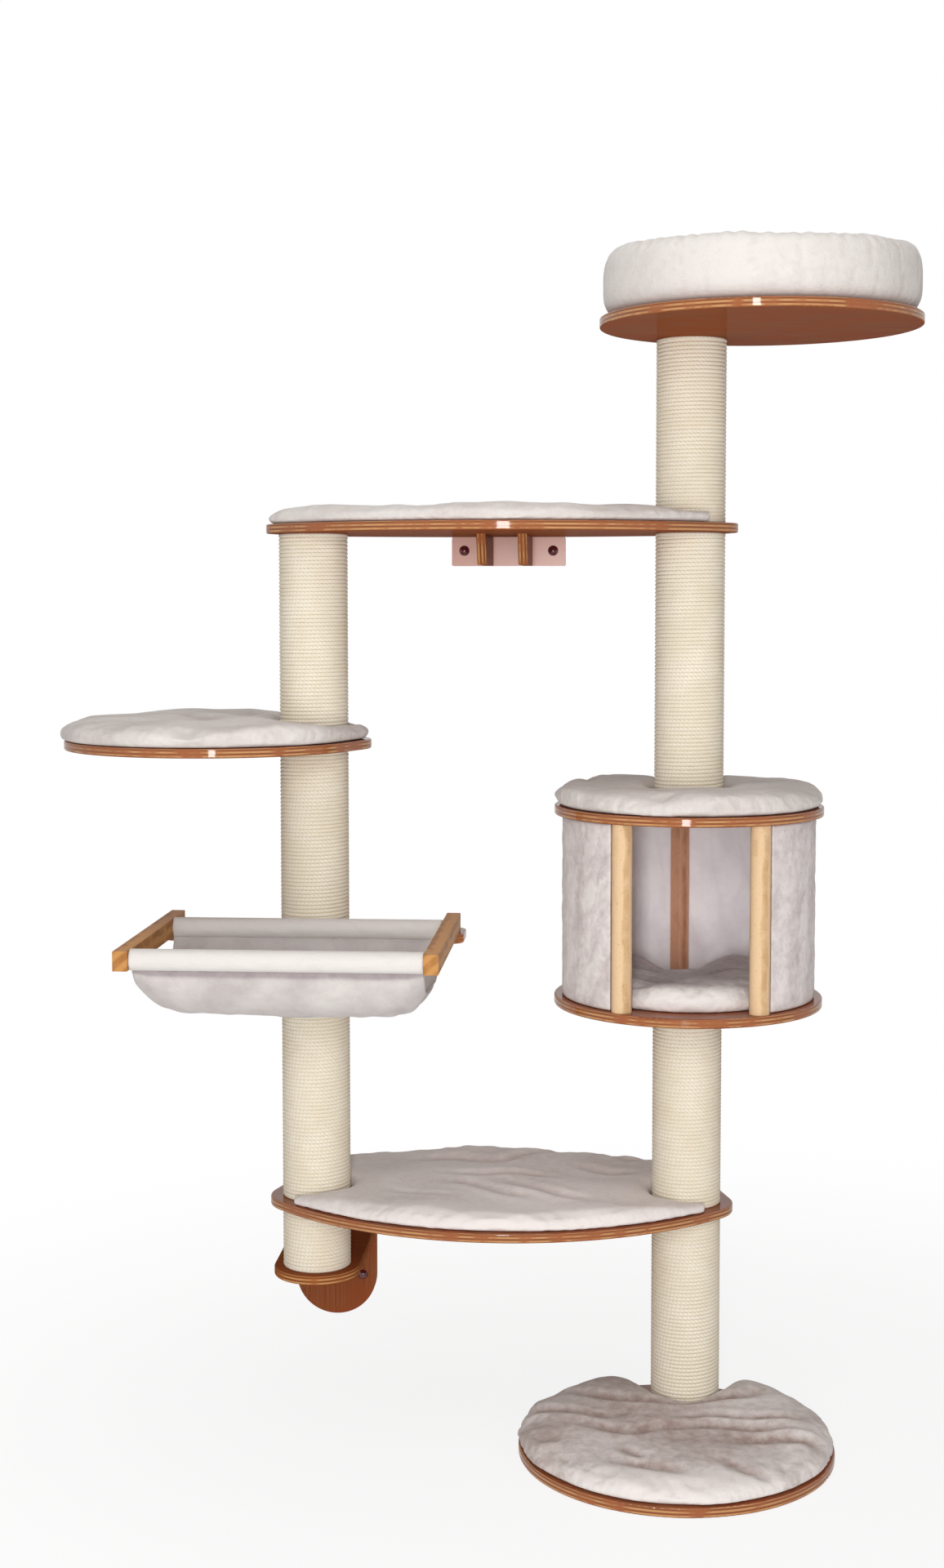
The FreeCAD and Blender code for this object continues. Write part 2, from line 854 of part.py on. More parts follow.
def bed_bolster():
    """The bed's thick round rim: plump at half its height and drawn in at its foot."""
    at = bed_centre()
    low = bed_z + board + cushion_lift
    foot = bolster_width * bolster_foot / 2
    middle = bolster_outer_r - bolster_width / 2
    half = bolster_width / 2
    widest = low + bolster_height * bolster_widest
    outer_foot = Vec(at.x + middle + foot, at.y, low)
    inner_foot = Vec(at.x + middle - foot, at.y, low)
    outer = Vec(at.x + middle + half, at.y, widest)
    inner = Vec(at.x + middle - half, at.y, widest)
    top = Vec(at.x + middle, at.y, low + bolster_height)
    belly = (foot + half) / 2 + bolster_belly
    belly_z = (low + widest) / 2 - bolster_belly_drop
    lower_out = Vec(at.x + middle + belly, at.y, belly_z)
    lower_in = Vec(at.x + middle - belly, at.y, belly_z)
    slope = bolster_shoulder
    rise = low + bolster_height - widest
    shoulder_out = Vec(at.x + middle + half * slope, at.y, widest + rise * slope)
    shoulder_in = Vec(at.x + middle - half * slope, at.y, widest + rise * slope)
    edges = [
        Part.Arc(outer_foot, lower_out, outer).toShape(),
        Part.Arc(outer, shoulder_out, top).toShape(),
        Part.Arc(top, shoulder_in, inner).toShape(),
        Part.Arc(inner, lower_in, inner_foot).toShape(),
        Part.makeLine(inner_foot, outer_foot),
    ]
    return Part.Face(Part.Wire(edges)).revolve(at, UP, 360)


def bed_pad():
    at = bed_centre()
    reach = bolster_outer_r - bolster_width - bed_pad_gap
    return cushion([(at.x, at.y, reach)], bed_z + board, bed_pad_thickness, pad_roll)


def base_cushion():
    lobes = (
        (base_right_lobe_r, base_right_lobe_turn),
        (base_left_lobe_r, base_left_lobe_turn),
    )
    discs = hollowed_discs(Vec(0, 0, 0), base_r - base_cushion_in, lobes)
    return cushion(discs, board, base_cushion_thickness, base_cushion_roll)


def roof_cushion():
    """The roof's disc with a slot that runs from the post straight out at the back."""
    outer_r = cave_r - roof_cushion_in
    away = notch_r + roof_lobe_r
    far = math.sqrt((outer_r - roof_lobe_r) ** 2 - away**2)
    discs = [
        (main_post_x, post_y, outer_r),
        (main_post_x + away, post_y + far, roof_lobe_r),
        (main_post_x, post_y, -notch_r),
        (main_post_x - away, post_y + far, roof_lobe_r),
    ]
    return cushion(discs, cave_roof_z + board, roof_cushion_thickness, roof_cushion_roll)


def floor_cushion():
    discs = [(main_post_x, post_y - floor_cushion_forward, floor_cushion_r)]
    z = cave_floor_z + board
    return cushion(discs, z, floor_cushion_thickness, floor_cushion_roll)


def lens_cushion(z, thickness, side_end):
    return cushion(lens_cushion_discs(side_end), z + board, thickness, lens_cushion_roll)


def left_cushion():
    z = left_shelf_z + board
    return cushion(left_cushion_discs(), z, left_cushion_thickness, left_cushion_roll)


# ---- every piece, by its name -------------------------------------------------------------

pieces = {
    "base_board": base_board(),
    "foot_board": foot_board(),
    "lower_shelf_board": lower_shelf_board(),
    "cave_floor_board": cave_board(cave_floor_z),
    "cave_roof_board": cave_board(cave_roof_z),
    "hammock_board": hammock_board(),
    "left_shelf_board": left_shelf_board(),
    "upper_shelf_board": upper_shelf_board(),
    "bed_board": bed_board(),
    "main_post_plugs": plugs(MAIN, MAIN_SEGMENTS),
    "side_post_plugs": plugs(SIDE, SIDE_SEGMENTS),
    "joining_studs": joining_studs(),
    "end_bolts": end_bolts(),
    "cave_dowel_left": cave_dowel(cave_post_places()[0]),
    "cave_dowel_right": cave_dowel(cave_post_places()[1]),
    "cave_back_post": cave_back_post(),
    "cave_wall_outer_plush": cave_shell(cave_wall_r, cave_plush_thickness),
    "cave_wall_panel": cave_shell(panel_outer_r(), cave_panel_thickness),
    "cave_wall_inner_plush": cave_shell(
        panel_outer_r() - cave_panel_thickness - cave_layer_gap, cave_plush_thickness
    ),
    "cave_screws": group(screw(*place) for place in cave_screw_places()),
    "hammock_bar_left": hammock_bar(-1),
    "hammock_bar_right": hammock_bar(1),
    "hammock_front_dowel": sling_dowel("front"),
    "hammock_rear_dowel": sling_dowel("rear"),
    "hammock_sling": sling(),
    "hammock_board_screws": group(screw(*place) for place in hammock_board_screws()),
    "hammock_dowel_screws": group(screw(*place) for place in dowel_screw_places()),
    "upper_wall_plate": upper_wall_plate(),
    "lower_wall_plate": lower_wall_plate(),
    "gusset_left": gusset(gusset_x()[0]),
    "gusset_right": gusset(gusset_x()[1]),
    "bracket_screws": group(
        screw(*place) for place in bracket_plate_screws() + bracket_shelf_screws()
    ),
    "foot_screws": group(screw(*place) for place in foot_screw_places()),
    "upper_screw_caps": screw_caps(middle_x, upper_screw_height(), upper_screw_spacing),
    "lower_screw_caps": screw_caps(side_post_x, lower_screw_height(), lower_screw_spacing),
    "bed_bolster": bed_bolster(),
    "bed_pad": bed_pad(),
    "upper_shelf_cushion": lens_cushion(upper_shelf_z, upper_cushion_thickness, "round"),
    "lower_shelf_cushion": lens_cushion(lower_shelf_z, lower_cushion_thickness, "hollow"),
    "left_shelf_cushion": left_cushion(),
    "base_cushion": base_cushion(),
    "cave_roof_cushion": roof_cushion(),
    "cave_floor_cushion": floor_cushion(),
}
for post_name, place, segments in (("main", MAIN, MAIN_SEGMENTS), ("side", SIDE, SIDE_SEGMENTS)):
    for segment, low, high in segments:
        pieces[f"{post_name}_core_{segment}"] = core(place, low, high)
        wound = foot_rope if segment == "foot" else rope_sleeve
        pieces[f"{post_name}_sisal_{segment}"] = wound(place, low, high)

os.makedirs("parts", exist_ok=True)
for name, shape in pieces.items():
    solids = shape.Solids
    whole = all(s.isValid() and s.isClosed() for s in solids)
    print(f"{name}: {len(solids)} solids, {shape.Volume / 1000:.1f} cm3, valid {whole}")
    shape.exportStep(f"parts/{name}.step")
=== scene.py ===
"""The looks of the wall mounted cat tree: glossy plywood boards, sisal-wound posts, beech bars and
plush cushions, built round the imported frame. Lengths are metres, in the frame of the part."""

import math

import bmesh
import bpy
import numpy as np
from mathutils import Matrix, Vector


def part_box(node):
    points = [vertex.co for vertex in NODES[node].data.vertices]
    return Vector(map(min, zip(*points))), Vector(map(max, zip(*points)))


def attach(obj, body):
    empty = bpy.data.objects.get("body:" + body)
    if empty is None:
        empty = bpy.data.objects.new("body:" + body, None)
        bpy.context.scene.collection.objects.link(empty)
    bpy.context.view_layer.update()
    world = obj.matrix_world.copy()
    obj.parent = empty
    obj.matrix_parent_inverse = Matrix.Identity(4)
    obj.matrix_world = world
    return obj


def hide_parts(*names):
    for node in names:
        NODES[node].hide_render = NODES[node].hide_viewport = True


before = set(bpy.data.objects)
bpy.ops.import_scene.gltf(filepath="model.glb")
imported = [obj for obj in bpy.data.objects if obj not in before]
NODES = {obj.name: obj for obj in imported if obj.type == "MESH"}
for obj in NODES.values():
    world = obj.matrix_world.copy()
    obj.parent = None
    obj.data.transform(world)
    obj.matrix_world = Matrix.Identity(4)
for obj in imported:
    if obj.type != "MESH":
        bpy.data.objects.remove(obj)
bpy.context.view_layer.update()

MM = 0.001
TAU = 2 * math.pi


# ---- colour and nodes ---------------------------------------------------------------------


def linear(code):
    """An sRGB hex colour as linear red, green, blue and alpha."""
    parts = [int(code[i : i + 2], 16) / 255 for i in (1, 3, 5)]
    return [c / 12.92 if c <= 0.04045 else ((c + 0.055) / 1.055) ** 2.4 for c in parts] + [1.0]


def add(tree, kind, inputs=(), **settings):
    """Adds a node with its settings. Inputs are (name or number, value or socket) pairs."""
    node = tree.nodes.new(kind)
    for name, value in settings.items():
        setattr(node, name, value)
    for name, value in inputs:
        if isinstance(value, bpy.types.NodeSocket):
            tree.links.new(value, node.inputs[name])
        else:
            node.inputs[name].default_value = value
    return node


def material(name, **surface):
    """A material with one Principled shader, whose steady values are set on its own sockets."""
    made = bpy.data.materials.new(name)
    made.use_nodes = True
    tree = made.node_tree
    tree.nodes.clear()
    shader = add(tree, "ShaderNodeBsdfPrincipled", surface.items())
    add(tree, "ShaderNodeOutputMaterial", [("Surface", shader.outputs[0])])
    return made, tree, shader


def math_node(tree, operation, a, b=0.0, clamp=False):
    """The result of one arithmetic step."""
    node = add(
        tree, "ShaderNodeMath", [(0, a), (1, b)], operation=operation, use_clamp=clamp
    )
    return node.outputs[0]


def blend_colours(tree, share, first, second):
    """The first colour, turning to the second as share goes from 0 to 1. The Mix node has its
    colours on inputs 6 and 7 and their blend on output 2."""
    inputs = [(0, share), (6, first), (7, second)]
    return add(tree, "ShaderNodeMix", inputs, data_type="RGBA").outputs[2]


def noise(tree, place, spacing, detail=3.0, roughness=0.55, distortion=0.0):
    """Noise whose blotches are about spacing (metres) across, from 0 to 1."""
    node = add(
        tree,
        "ShaderNodeTexNoise",
        [
            ("Vector", place),
            ("Scale", 1 / spacing),
            ("Detail", detail),
            ("Roughness", roughness),
            ("Distortion", distortion),
        ],
    )
    return node.outputs["Fac"]


def stretched(tree, place, spacings):
    """Coordinates in which one unit is the given length in metres along X, Y and Z."""
    scale = tuple(1 / s for s in spacings)
    return add(tree, "ShaderNodeMapping", [("Vector", place), ("Scale", scale)]).outputs[0]


def ramp(tree, value, low, high):
    """0 at low, 1 at high, smooth between."""
    node = add(
        tree,
        "ShaderNodeMapRange",
        [("Value", value), ("From Min", low), ("From Max", high)],
        interpolation_type="SMOOTHSTEP",
    )
    return node.outputs["Result"]


def bump(tree, shader, height, distance, strength):
    """Tilts the shader's normal by a height pattern that is distance deep."""
    node = add(
        tree,
        "ShaderNodeBump",
        [("Height", height), ("Distance", distance), ("Strength", strength)],
    )
    tree.links.new(node.outputs[0], shader.inputs["Normal"])


# ---- materials ----------------------------------------------------------------------------

AXES = "XYZ"
BOARD = 16 * MM
# the plies are drawn 3.2 mm thick, coarser than real, so that they show
PLIES = 5


def lacquered_plywood(name, across, start, along, gloss=1.0, soft=0.06, painted_sheen=0.0):
    """Beech-faced plywood, stained red brown, sanded and sprayed with gloss lacquer. The eye
    sees a red brown veneer with fine streaks, honey and brown plies on the edges, and small
    sharp glints. Undersides carry one thin coat, so they shine less. across is the axis through
    the plies, start its first face, along the grain; gloss scales the coat, soft is its
    roughness, and the last argument is how far the veneer is painted toward a light pink, as a
    painted reflection."""
    made, tree, shader = material(
        name, Roughness=0.3, IOR=1.5, **{"Specular IOR Level": 0.0, "Coat Roughness": soft}
    )
    place = add(tree, "ShaderNodeTexCoord").outputs["Object"]
    axes = add(tree, "ShaderNodeSeparateXYZ", [(0, place)])
    normal = add(tree, "ShaderNodeNewGeometry").outputs["Normal"]
    facing = add(tree, "ShaderNodeSeparateXYZ", [(0, normal)])
    on_face = ramp(tree, math_node(tree, "ABSOLUTE", facing.outputs[AXES[across]]), 0.55, 0.9)
    # the full coat lies on all but the faces that look down
    not_under = ramp(tree, facing.outputs["Z"], -0.85, -0.45)
    full_coat = math_node(tree, "MULTIPLY", not_under, 0.3 * gloss)
    coat = math_node(tree, "ADD", full_coat, 0.04 * min(gloss, 1.0))
    tree.links.new(coat, shader.inputs["Coat Weight"])
    # streaks of the veneer are 2.5 mm apart and 140 mm long, pores 0.8 mm apart and 12 mm long
    streaks = [2.5 * MM] * 3
    streaks[along] = 140 * MM
    pores = [0.8 * MM] * 3
    pores[along] = 12 * MM
    streak = noise(tree, stretched(tree, place, streaks), 1.0, 4.0, 0.6, 0.4)
    pore = noise(tree, stretched(tree, place, pores), 1.0, 2.0)
    cloud = noise(tree, place, 90 * MM, 2.0)
    veneer = blend_colours(
        tree, ramp(tree, streak, 0.3, 0.72), linear("#7F472C"), linear("#A0633F")
    )
    veneer = blend_colours(tree, ramp(tree, cloud, 0.3, 0.7), veneer, linear("#96502F"))
    veneer = blend_colours(tree, ramp(tree, pore, 0.62, 0.8), veneer, linear("#6B3622"))
    # painted reflection: the veneer is painted toward a light pink, as a lamp's glare would wash
    # it out
    veneer = blend_colours(tree, painted_sheen, veneer, linear("#E8B8AB"))
    # the plies waver by up to an eighth of their thickness each way
    wobble = math_node(tree, "MULTIPLY", math_node(tree, "SUBTRACT", cloud, 0.5), 0.25)
    depth = math_node(tree, "SUBTRACT", axes.outputs[AXES[across]], start)
    ply = math_node(tree, "DIVIDE", depth, BOARD / PLIES)
    ply = math_node(tree, "ADD", ply, wobble)
    step = math_node(tree, "PINGPONG", ply, 1.0)
    light_ply = ramp(tree, step, 0.3, 0.7)
    edge = blend_colours(tree, light_ply, linear("#854A28"), linear("#C28E5C"))
    patches = noise(tree, place, 34 * MM, 3.0)
    edge = blend_colours(tree, ramp(tree, patches, 0.4, 0.68), edge, linear("#9C5A33"))
    colour = blend_colours(tree, on_face, edge, veneer)
    tree.links.new(colour, shader.inputs["Base Color"])
    bump(tree, shader, math_node(tree, "ADD", streak, pore), 0.04 * MM, 0.4)
    return made


def lacquered_beech(name, along, pith, light="#C48E54", dark="#9F6A38"):
    """Steamed beech bars and dowels, turned or planed, with satin lacquer. The eye sees honey
    wood with rings on its ends, stripes along its sides and short brown flecks. along is the
    axis of the grain, and pith moves the centre of the growth rings to the origin."""
    made, tree, shader = material(
        name,
        Roughness=0.5,
        IOR=1.5,
        **{"Specular IOR Level": 0.05, "Coat Weight": 0.03, "Coat Roughness": 0.2},
    )
    place = add(tree, "ShaderNodeTexCoord").outputs["Object"]
    centred = add(tree, "ShaderNodeMapping", [("Vector", place), ("Location", pith)]).outputs[0]
    turn = {0: (0.0, math.pi / 2, 0.0), 1: (math.pi / 2, 0.0, 0.0), 2: (0.0, 0.0, 0.0)}[along]
    turned = add(
        tree, "ShaderNodeMapping", [("Vector", centred), ("Rotation", turn)]
    ).outputs[0]
    # the texture repeats its rings every TAU / 20, so these lie TAU times 3.2 mm, or 20 mm,
    # apart, and waver by a few millimetres
    rings = add(
        tree,
        "ShaderNodeTexWave",
        [
            ("Vector", turned),
            ("Scale", 1 / (3.2 * MM) / 20),
            ("Distortion", 2.2),
            ("Detail", 2.0),
            ("Detail Scale", 1.0),
        ],
        wave_type="RINGS",
        rings_direction="Z",
    ).outputs["Fac"]
    flecks = [0.9 * MM] * 3
    flecks[along] = 5 * MM
    fleck = noise(tree, stretched(tree, place, flecks), 1.0, 2.0)
    cloud = noise(tree, place, 45 * MM, 3.0)
    wood = blend_colours(tree, ramp(tree, rings, 0.2, 0.9), linear(dark), linear(light))
    wood = blend_colours(tree, ramp(tree, cloud, 0.35, 0.75), wood, linear(light))
    wood = blend_colours(tree, ramp(tree, fleck, 0.62, 0.78), wood, linear("#8A5A30"))
    tree.links.new(wood, shader.inputs["Base Color"])
    bump(tree, shader, math_node(tree, "ADD", rings, fleck), 0.06 * MM, 0.5)
    return made


# a turn of rope is pressed into an oval, ROPE_R half its thickness out from the post and
# ROPE_HALF half its height along the post, where it overlaps its neighbours a little
ROPE_R = 3.35 * MM
ROPE_HALF = 3.42 * MM
ROPE_PITCH = 6.67 * MM
POST_R = 60 * MM


def sisal_rope():
    """Three-strand sisal rope, wound tight and pressed flat against its neighbours. The eye sees
    cream cord with slanting strands a few millimetres apart, dry fibres and shallow grooves."""
    made, tree, shader = material(
        "sisal_rope", Roughness=0.9, IOR=1.45, **{"Specular IOR Level": 0.2}
    )
    place = add(tree, "ShaderNodeTexCoord").outputs["Object"]
    rope = add(tree, "ShaderNodeUVMap", uv_map="rope").outputs[0]
    parts = add(tree, "ShaderNodeSeparateXYZ", [(0, rope)])
    # a strand comes round every 7 mm of rope, coarser than the real 5 mm, so that it shows
    strands = math_node(tree, "MULTIPLY", parts.outputs["X"], 1 / (7 * MM))
    strands = math_node(tree, "ADD", strands, math_node(tree, "MULTIPLY", parts.outputs["Y"], 2.0))
    gap = math_node(tree, "PINGPONG", strands, 0.5)
    strand = ramp(tree, gap, 0.0, 0.25)
    fibre = noise(tree, stretched(tree, place, (3.0 * MM, 3.0 * MM, 1.2 * MM)), 1.0, 3.0, 0.7)
    patch = noise(tree, place, 70 * MM, 2.0)
    cord = blend_colours(tree, ramp(tree, patch, 0.3, 0.72), linear("#F0E7D5"), linear("#F7F1E4"))
    cord = blend_colours(tree, ramp(tree, fibre, 0.5, 0.85), cord, linear("#E6D9BE"))
    # painted shade: the gaps between the strands are painted darker
    cord = blend_colours(tree, strand, linear("#E8DCC2"), cord)
    tree.links.new(cord, shader.inputs["Base Color"])
    height = math_node(tree, "ADD", strand, math_node(tree, "MULTIPLY", fibre, 0.5))
    bump(tree, shader, height, 0.35 * MM, 0.6)
    return made


def plush(name, light, shade, mottle=0.25, grain=14 * MM):
    """Short-pile polyester plush. The eye sees a soft light-coloured cloth that brightens at its
    edges. Its colour is painted from the shaded tone to the lit tone by an attribute of the piece,
    from 0 to 1, which holds the pile's own tone and painted light and shade, and noise a
    centimetre or two across ruffles it."""
    made, tree, shader = material(
        name,
        Roughness=0.95,
        IOR=1.45,
        **{"Specular IOR Level": 0.1, "Sheen Weight": 0.25, "Sheen Roughness": 0.5},
    )
    place = add(tree, "ShaderNodeTexCoord").outputs["Object"]
    nap_and_painted_light = add(tree, "ShaderNodeAttribute", attribute_name="nap_and_painted_light").outputs["Fac"]
    ruffle = math_node(tree, "SUBTRACT", noise(tree, place, grain, 3.0, 0.6, 0.3), 0.5)
    # the pile is drawn 2.2 mm apart, coarser than real, so that it shows
    pile = noise(tree, place, 2.2 * MM, 2.0, 0.6)
    lie = math_node(tree, "ADD", nap_and_painted_light, math_node(tree, "MULTIPLY", ruffle, 4 * mottle))
    lie = math_node(tree, "ADD", lie, math_node(tree, "MULTIPLY", pile, 0.22), clamp=True)
    # painted light and shade: the cloth's colour runs from its shaded tone to its lit tone
    cloth = blend_colours(tree, lie, linear(shade), linear(light))
    tree.links.new(cloth, shader.inputs["Base Color"])
    height = math_node(tree, "ADD", pile, math_node(tree, "MULTIPLY", ruffle, 2.0))
    bump(tree, shader, height, 0.9 * MM, 0.6)
    return made


def plain(name, code, roughness, metallic=0.0, coat=0.0, grain=0.0):
    """A plain finish: moulded plastic, bright steel, kraft board or raw hardboard."""
    made, tree, shader = material(
        name,
        Roughness=roughness,
        Metallic=metallic,
        **{"Base Color": linear(code), "Coat Weight": coat, "Coat Roughness": 0.05},
    )
    if grain:
        place = add(tree, "ShaderNodeTexCoord").outputs["Object"]
        bump(tree, shader, noise(tree, place, grain), 0.05 * MM, 0.6)
    return made


def dress(node, finish):
    """Gives a CAD node's material slots this finish."""
    for slot in NODES[node].material_slots:
        slot.material = finish


# each plush is painted between its first, lit tone and its second, shaded tone, as painted light
# and shade; the base, cave floor and sling plush have deeper shaded tones for their painted shade,
# and the cave lining is painted near white, lighter than the outer plush, as painted light inside
# the cave
PLUSH = plush("polyester_plush", "#E0DBD7", "#C4B9B4", 0.22)
BASE_PLUSH = plush("base_cushion_plush", "#E6E0DD", "#A6928A", 0.32, 18 * MM)
SHELF_PLUSH = plush("shelf_plush", "#EAE3E0", "#D4C6C1", 0.34, 16 * MM)
CAVE_PLUSH = plush("cave_floor_plush", "#E6E1DE", "#AE9FA1", 0.3, 14 * MM)
WALL_PLUSH = plush("wall_plush", "#E6DFDD", "#C5BABA", 0.45, 14 * MM)
LINING_PLUSH = plush("cave_lining_plush", "#FDFAFC", "#ECE5EA", 0.25, 26 * MM)
SLING_PLUSH = plush("sling_plush", "#DEDAD6", "#9A8E91", 0.12, 26 * MM)
SISAL = sisal_rope()
STEEL = plain("zinc_plated_steel", "#B9BCC0", 0.32, 1.0)
CAPS = plain("moulded_abs_caps", "#5B1C22", 0.2, 0.0, 0.5)
KRAFT = plain("kraft_board_tube", "#A98A63", 0.85, grain=1.5 * MM)
HARDBOARD = plain("bent_hardboard", "#6E4A2C", 0.7, grain=1.0 * MM)
PLUG_WOOD = plain("raw_spruce_plugs", "#D3B27E", 0.8, grain=1.2 * MM)


# ---- meshes -------------------------------------------------------------------------------


def new_piece(name, points, faces, finish, body, uv=None):
    """A mesh piece in the part's frame that rides on a body."""
    mesh = bpy.data.meshes.new(name)
    mesh.from_pydata(np.asarray(points, float).reshape(-1, 3).tolist(), [], faces)
    if uv is not None:
        loops = np.zeros(len(mesh.loops), np.int32)
        mesh.loops.foreach_get("vertex_index", loops)
        layer = mesh.uv_layers.new(name="rope")
        layer.data.foreach_set("uv", uv[loops].astype(np.float32).ravel())
    mesh.shade_smooth()
    mesh.materials.append(finish)
    piece = bpy.data.objects.new(name, mesh)
    bpy.context.scene.collection.objects.link(piece)
    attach(piece, body)
    return piece


def quads(rows, columns, wrap_rows=False, wrap_columns=False):
    """The faces between neighbours of a grid of points, as lists of four indices."""
    r = np.arange(rows if wrap_rows else rows - 1)
    c = np.arange(columns if wrap_columns else columns - 1)
    r0, c0 = np.meshgrid(r, c, indexing="ij")
    r1, c1 = (r0 + 1) % rows, (c0 + 1) % columns
    corners = [r0 * columns + c0, r0 * columns + c1, r1 * columns + c1, r1 * columns + c0]
    return np.stack(corners, -1).reshape(-1, 4).tolist()


def apply_modifiers(piece):
    """Replaces a piece's mesh by what its modifiers make of it."""
    graph = bpy.context.evaluated_depsgraph_get()
    made = bpy.data.meshes.new_from_object(piece.evaluated_get(graph))
    piece.modifiers.clear()
    old = piece.data
    piece.data = made
    bpy.data.meshes.remove(old)


def read_points(mesh):
    """The mesh's points as rows of x, y and z."""
    points = np.zeros(len(mesh.vertices) * 3, np.float32)
    mesh.vertices.foreach_get("co", points)
    return points.reshape(-1, 3).astype(float)


def write_points(mesh, points):
    mesh.vertices.foreach_set("co", points.astype(np.float32).ravel())
    mesh.update()


def read_normals(mesh):
    """The unit normal at each of the mesh's points."""
    normals = np.zeros(len(mesh.vertices) * 3, np.float32)
    mesh.vertex_normals.foreach_get("vector", normals)
    return normals.reshape(-1, 3).astype(float)


def smooth_step(value, low, high):
    """0 up to low, 1 from high on, and the S curve 3tt - 2ttt between."""
    t = np.clip((value - low) / (high - low), 0, 1)
    return t * t * (3 - 2 * t)


def waves(x, y, length, seed, heading=0.0, stretch=1.0, count=9):
    """Smooth noise, mostly between -1 and 1: sines of about the given wavelength with seeded
    headings and phases. With a stretch above 1 the sines run longer along the heading
    (radians)."""
    draw = np.random.default_rng(seed)
    along = x * math.cos(heading) + y * math.sin(heading)
    across = -x * math.sin(heading) + y * math.cos(heading)
    total = np.zeros_like(x)
    for _ in range(count):
        angle = draw.uniform(0, math.pi)
        pace = TAU / length * draw.uniform(0.6, 1.5)
        phase = draw.uniform(0, TAU)
        total += np.sin(
            pace * (along * math.cos(angle) / stretch + across * math.sin(angle)) + phase
        )
    return total / math.sqrt(count * 2)


def creases(x, y, length, seed, heading, stretch, sharp):
    """Fold lines: 0 on the cloth between them and 1 in the bottom of a crease, which lies
    wherever the smooth noise passes through zero. The smaller sharp is, the narrower it is."""
    return np.exp(-((waves(x, y, length, seed, heading, stretch) / sharp) ** 2))


def fold_depth(x, y, folds):
    """The depth of pressed-in folds, and how near each point is to one. A fold is (depth, width,
    points), in millimetres: along its line of points the cloth sinks in a bell curve, which
    fades at both ends, and swells a little on each side."""
    sunk = np.zeros_like(x)
    near = np.zeros_like(x)
    for depth, width, line in folds:
        line = np.array(line, float) * MM
        steps = np.linalg.norm(np.diff(line, axis=0), axis=1)
        whole = steps.sum()
        away = np.full_like(x, 9.0)
        at = np.zeros_like(x)
        run = 0.0
        for (ax, ay), (bx, by), step in zip(line[:-1], line[1:], steps):
            t = np.clip(((x - ax) * (bx - ax) + (y - ay) * (by - ay)) / step**2, 0, 1)
            gap = np.hypot(x - ax - t * (bx - ax), y - ay - t * (by - ay))
            closer = gap < away
            away = np.where(closer, gap, away)
            at = np.where(closer, (run + t * step) / whole, at)
            run += step
        fade = smooth_step(at, 0.0, 0.25) * smooth_step(1 - at, 0.0, 0.25) * 0.8 + 0.2
        ratio = away / (width * MM)
        bell = np.exp(-(ratio**2)) * fade
        sunk += depth * MM * (bell - 0.4 * np.exp(-((ratio - 1.9) ** 2)) * fade)
        near = np.maximum(near, bell * min(1.0, depth / 5))
    return sunk, near


def set_nap_and_painted_light(piece, nap_and_painted_light):
    """Keeps how light the cloth is painted at each point, from 0 to 1, as an attribute: the
    pile's own tone with painted light and shade.
    """
    layer = piece.data.attributes.new("nap_and_painted_light", "FLOAT", "POINT")
    layer.data.foreach_set("value", np.clip(nap_and_painted_light, 0, 1).astype(np.float32))


# ---- posts --------------------------------------------------------------------------------

RING_STEPS = 72
TUBE_STEPS = 10


def wound_rope(name, node):
    """Rope wound round a post segment. The centreline is a helix of the rope's pitch, held
    level for its first and last turn; each point carries the rope's oval section."""
    low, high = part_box(node.replace("sisal", "core"))
    cx, cy = (low.x + high.x) / 2, (low.y + high.y) / 2
    z0, z1 = low.z + ROPE_HALF + 0.1 * MM, high.z - ROPE_HALF - 0.1 * MM
    turns = (z1 - z0) / ROPE_PITCH + 2
    steps = int(turns * RING_STEPS)
    angle = np.linspace(0, turns * TAU, steps)[:, None]
    z = np.clip(z0 + ROPE_PITCH * (angle / TAU - 1), z0, z1)
    turn = np.linspace(0, TAU, TUBE_STEPS, endpoint=False)[None, :]
    path_r = POST_R - ROPE_R
    around = path_r + ROPE_R * np.cos(turn) + 0 * angle
    heading = angle + math.pi / 2
    points = np.stack(
        [
            cx + around * np.cos(heading),
            cy + around * np.sin(heading),
            z + ROPE_HALF * np.sin(turn),
        ],
        -1,
    )
    faces = quads(steps, TUBE_STEPS, wrap_columns=True)
    faces.append(list(range(TUBE_STEPS))[::-1])
    faces.append(list(range((steps - 1) * TUBE_STEPS, steps * TUBE_STEPS)))
    uv = np.stack([path_r * angle + 0 * turn, turn / TAU + 0 * angle], -1).reshape(-1, 2)
    piece = new_piece(name, points, [f[::-1] for f in faces], SISAL, "tree", uv)
    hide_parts(node)


# ---- cushions -----------------------------------------------------------------------------

# the axes of the two posts
MAIN_POST = (20 * MM, 189 * MM)
SIDE_POST = (-633 * MM, 189 * MM)
# how near to a post's axis a hollow's lip is drawn, and how far out the cloth follows it
CLEAR_R = 61.5 * MM
DRAWN_R = 105 * MM
# no cushion goes past this y, just in front of the wall, and each lies this far over its board
WALL_Y = 454.5 * MM
OVER_BOARD = 0.3 * MM
# the size of the skin's faces, how long Cloth runs, the share by which a cover is cut too
# large, and how far Cloth may move it
VOXEL = 6 * MM
CLOTH_FRAMES = 20
COVER_SLACK = 0.02
COVER_CAP = 6 * MM


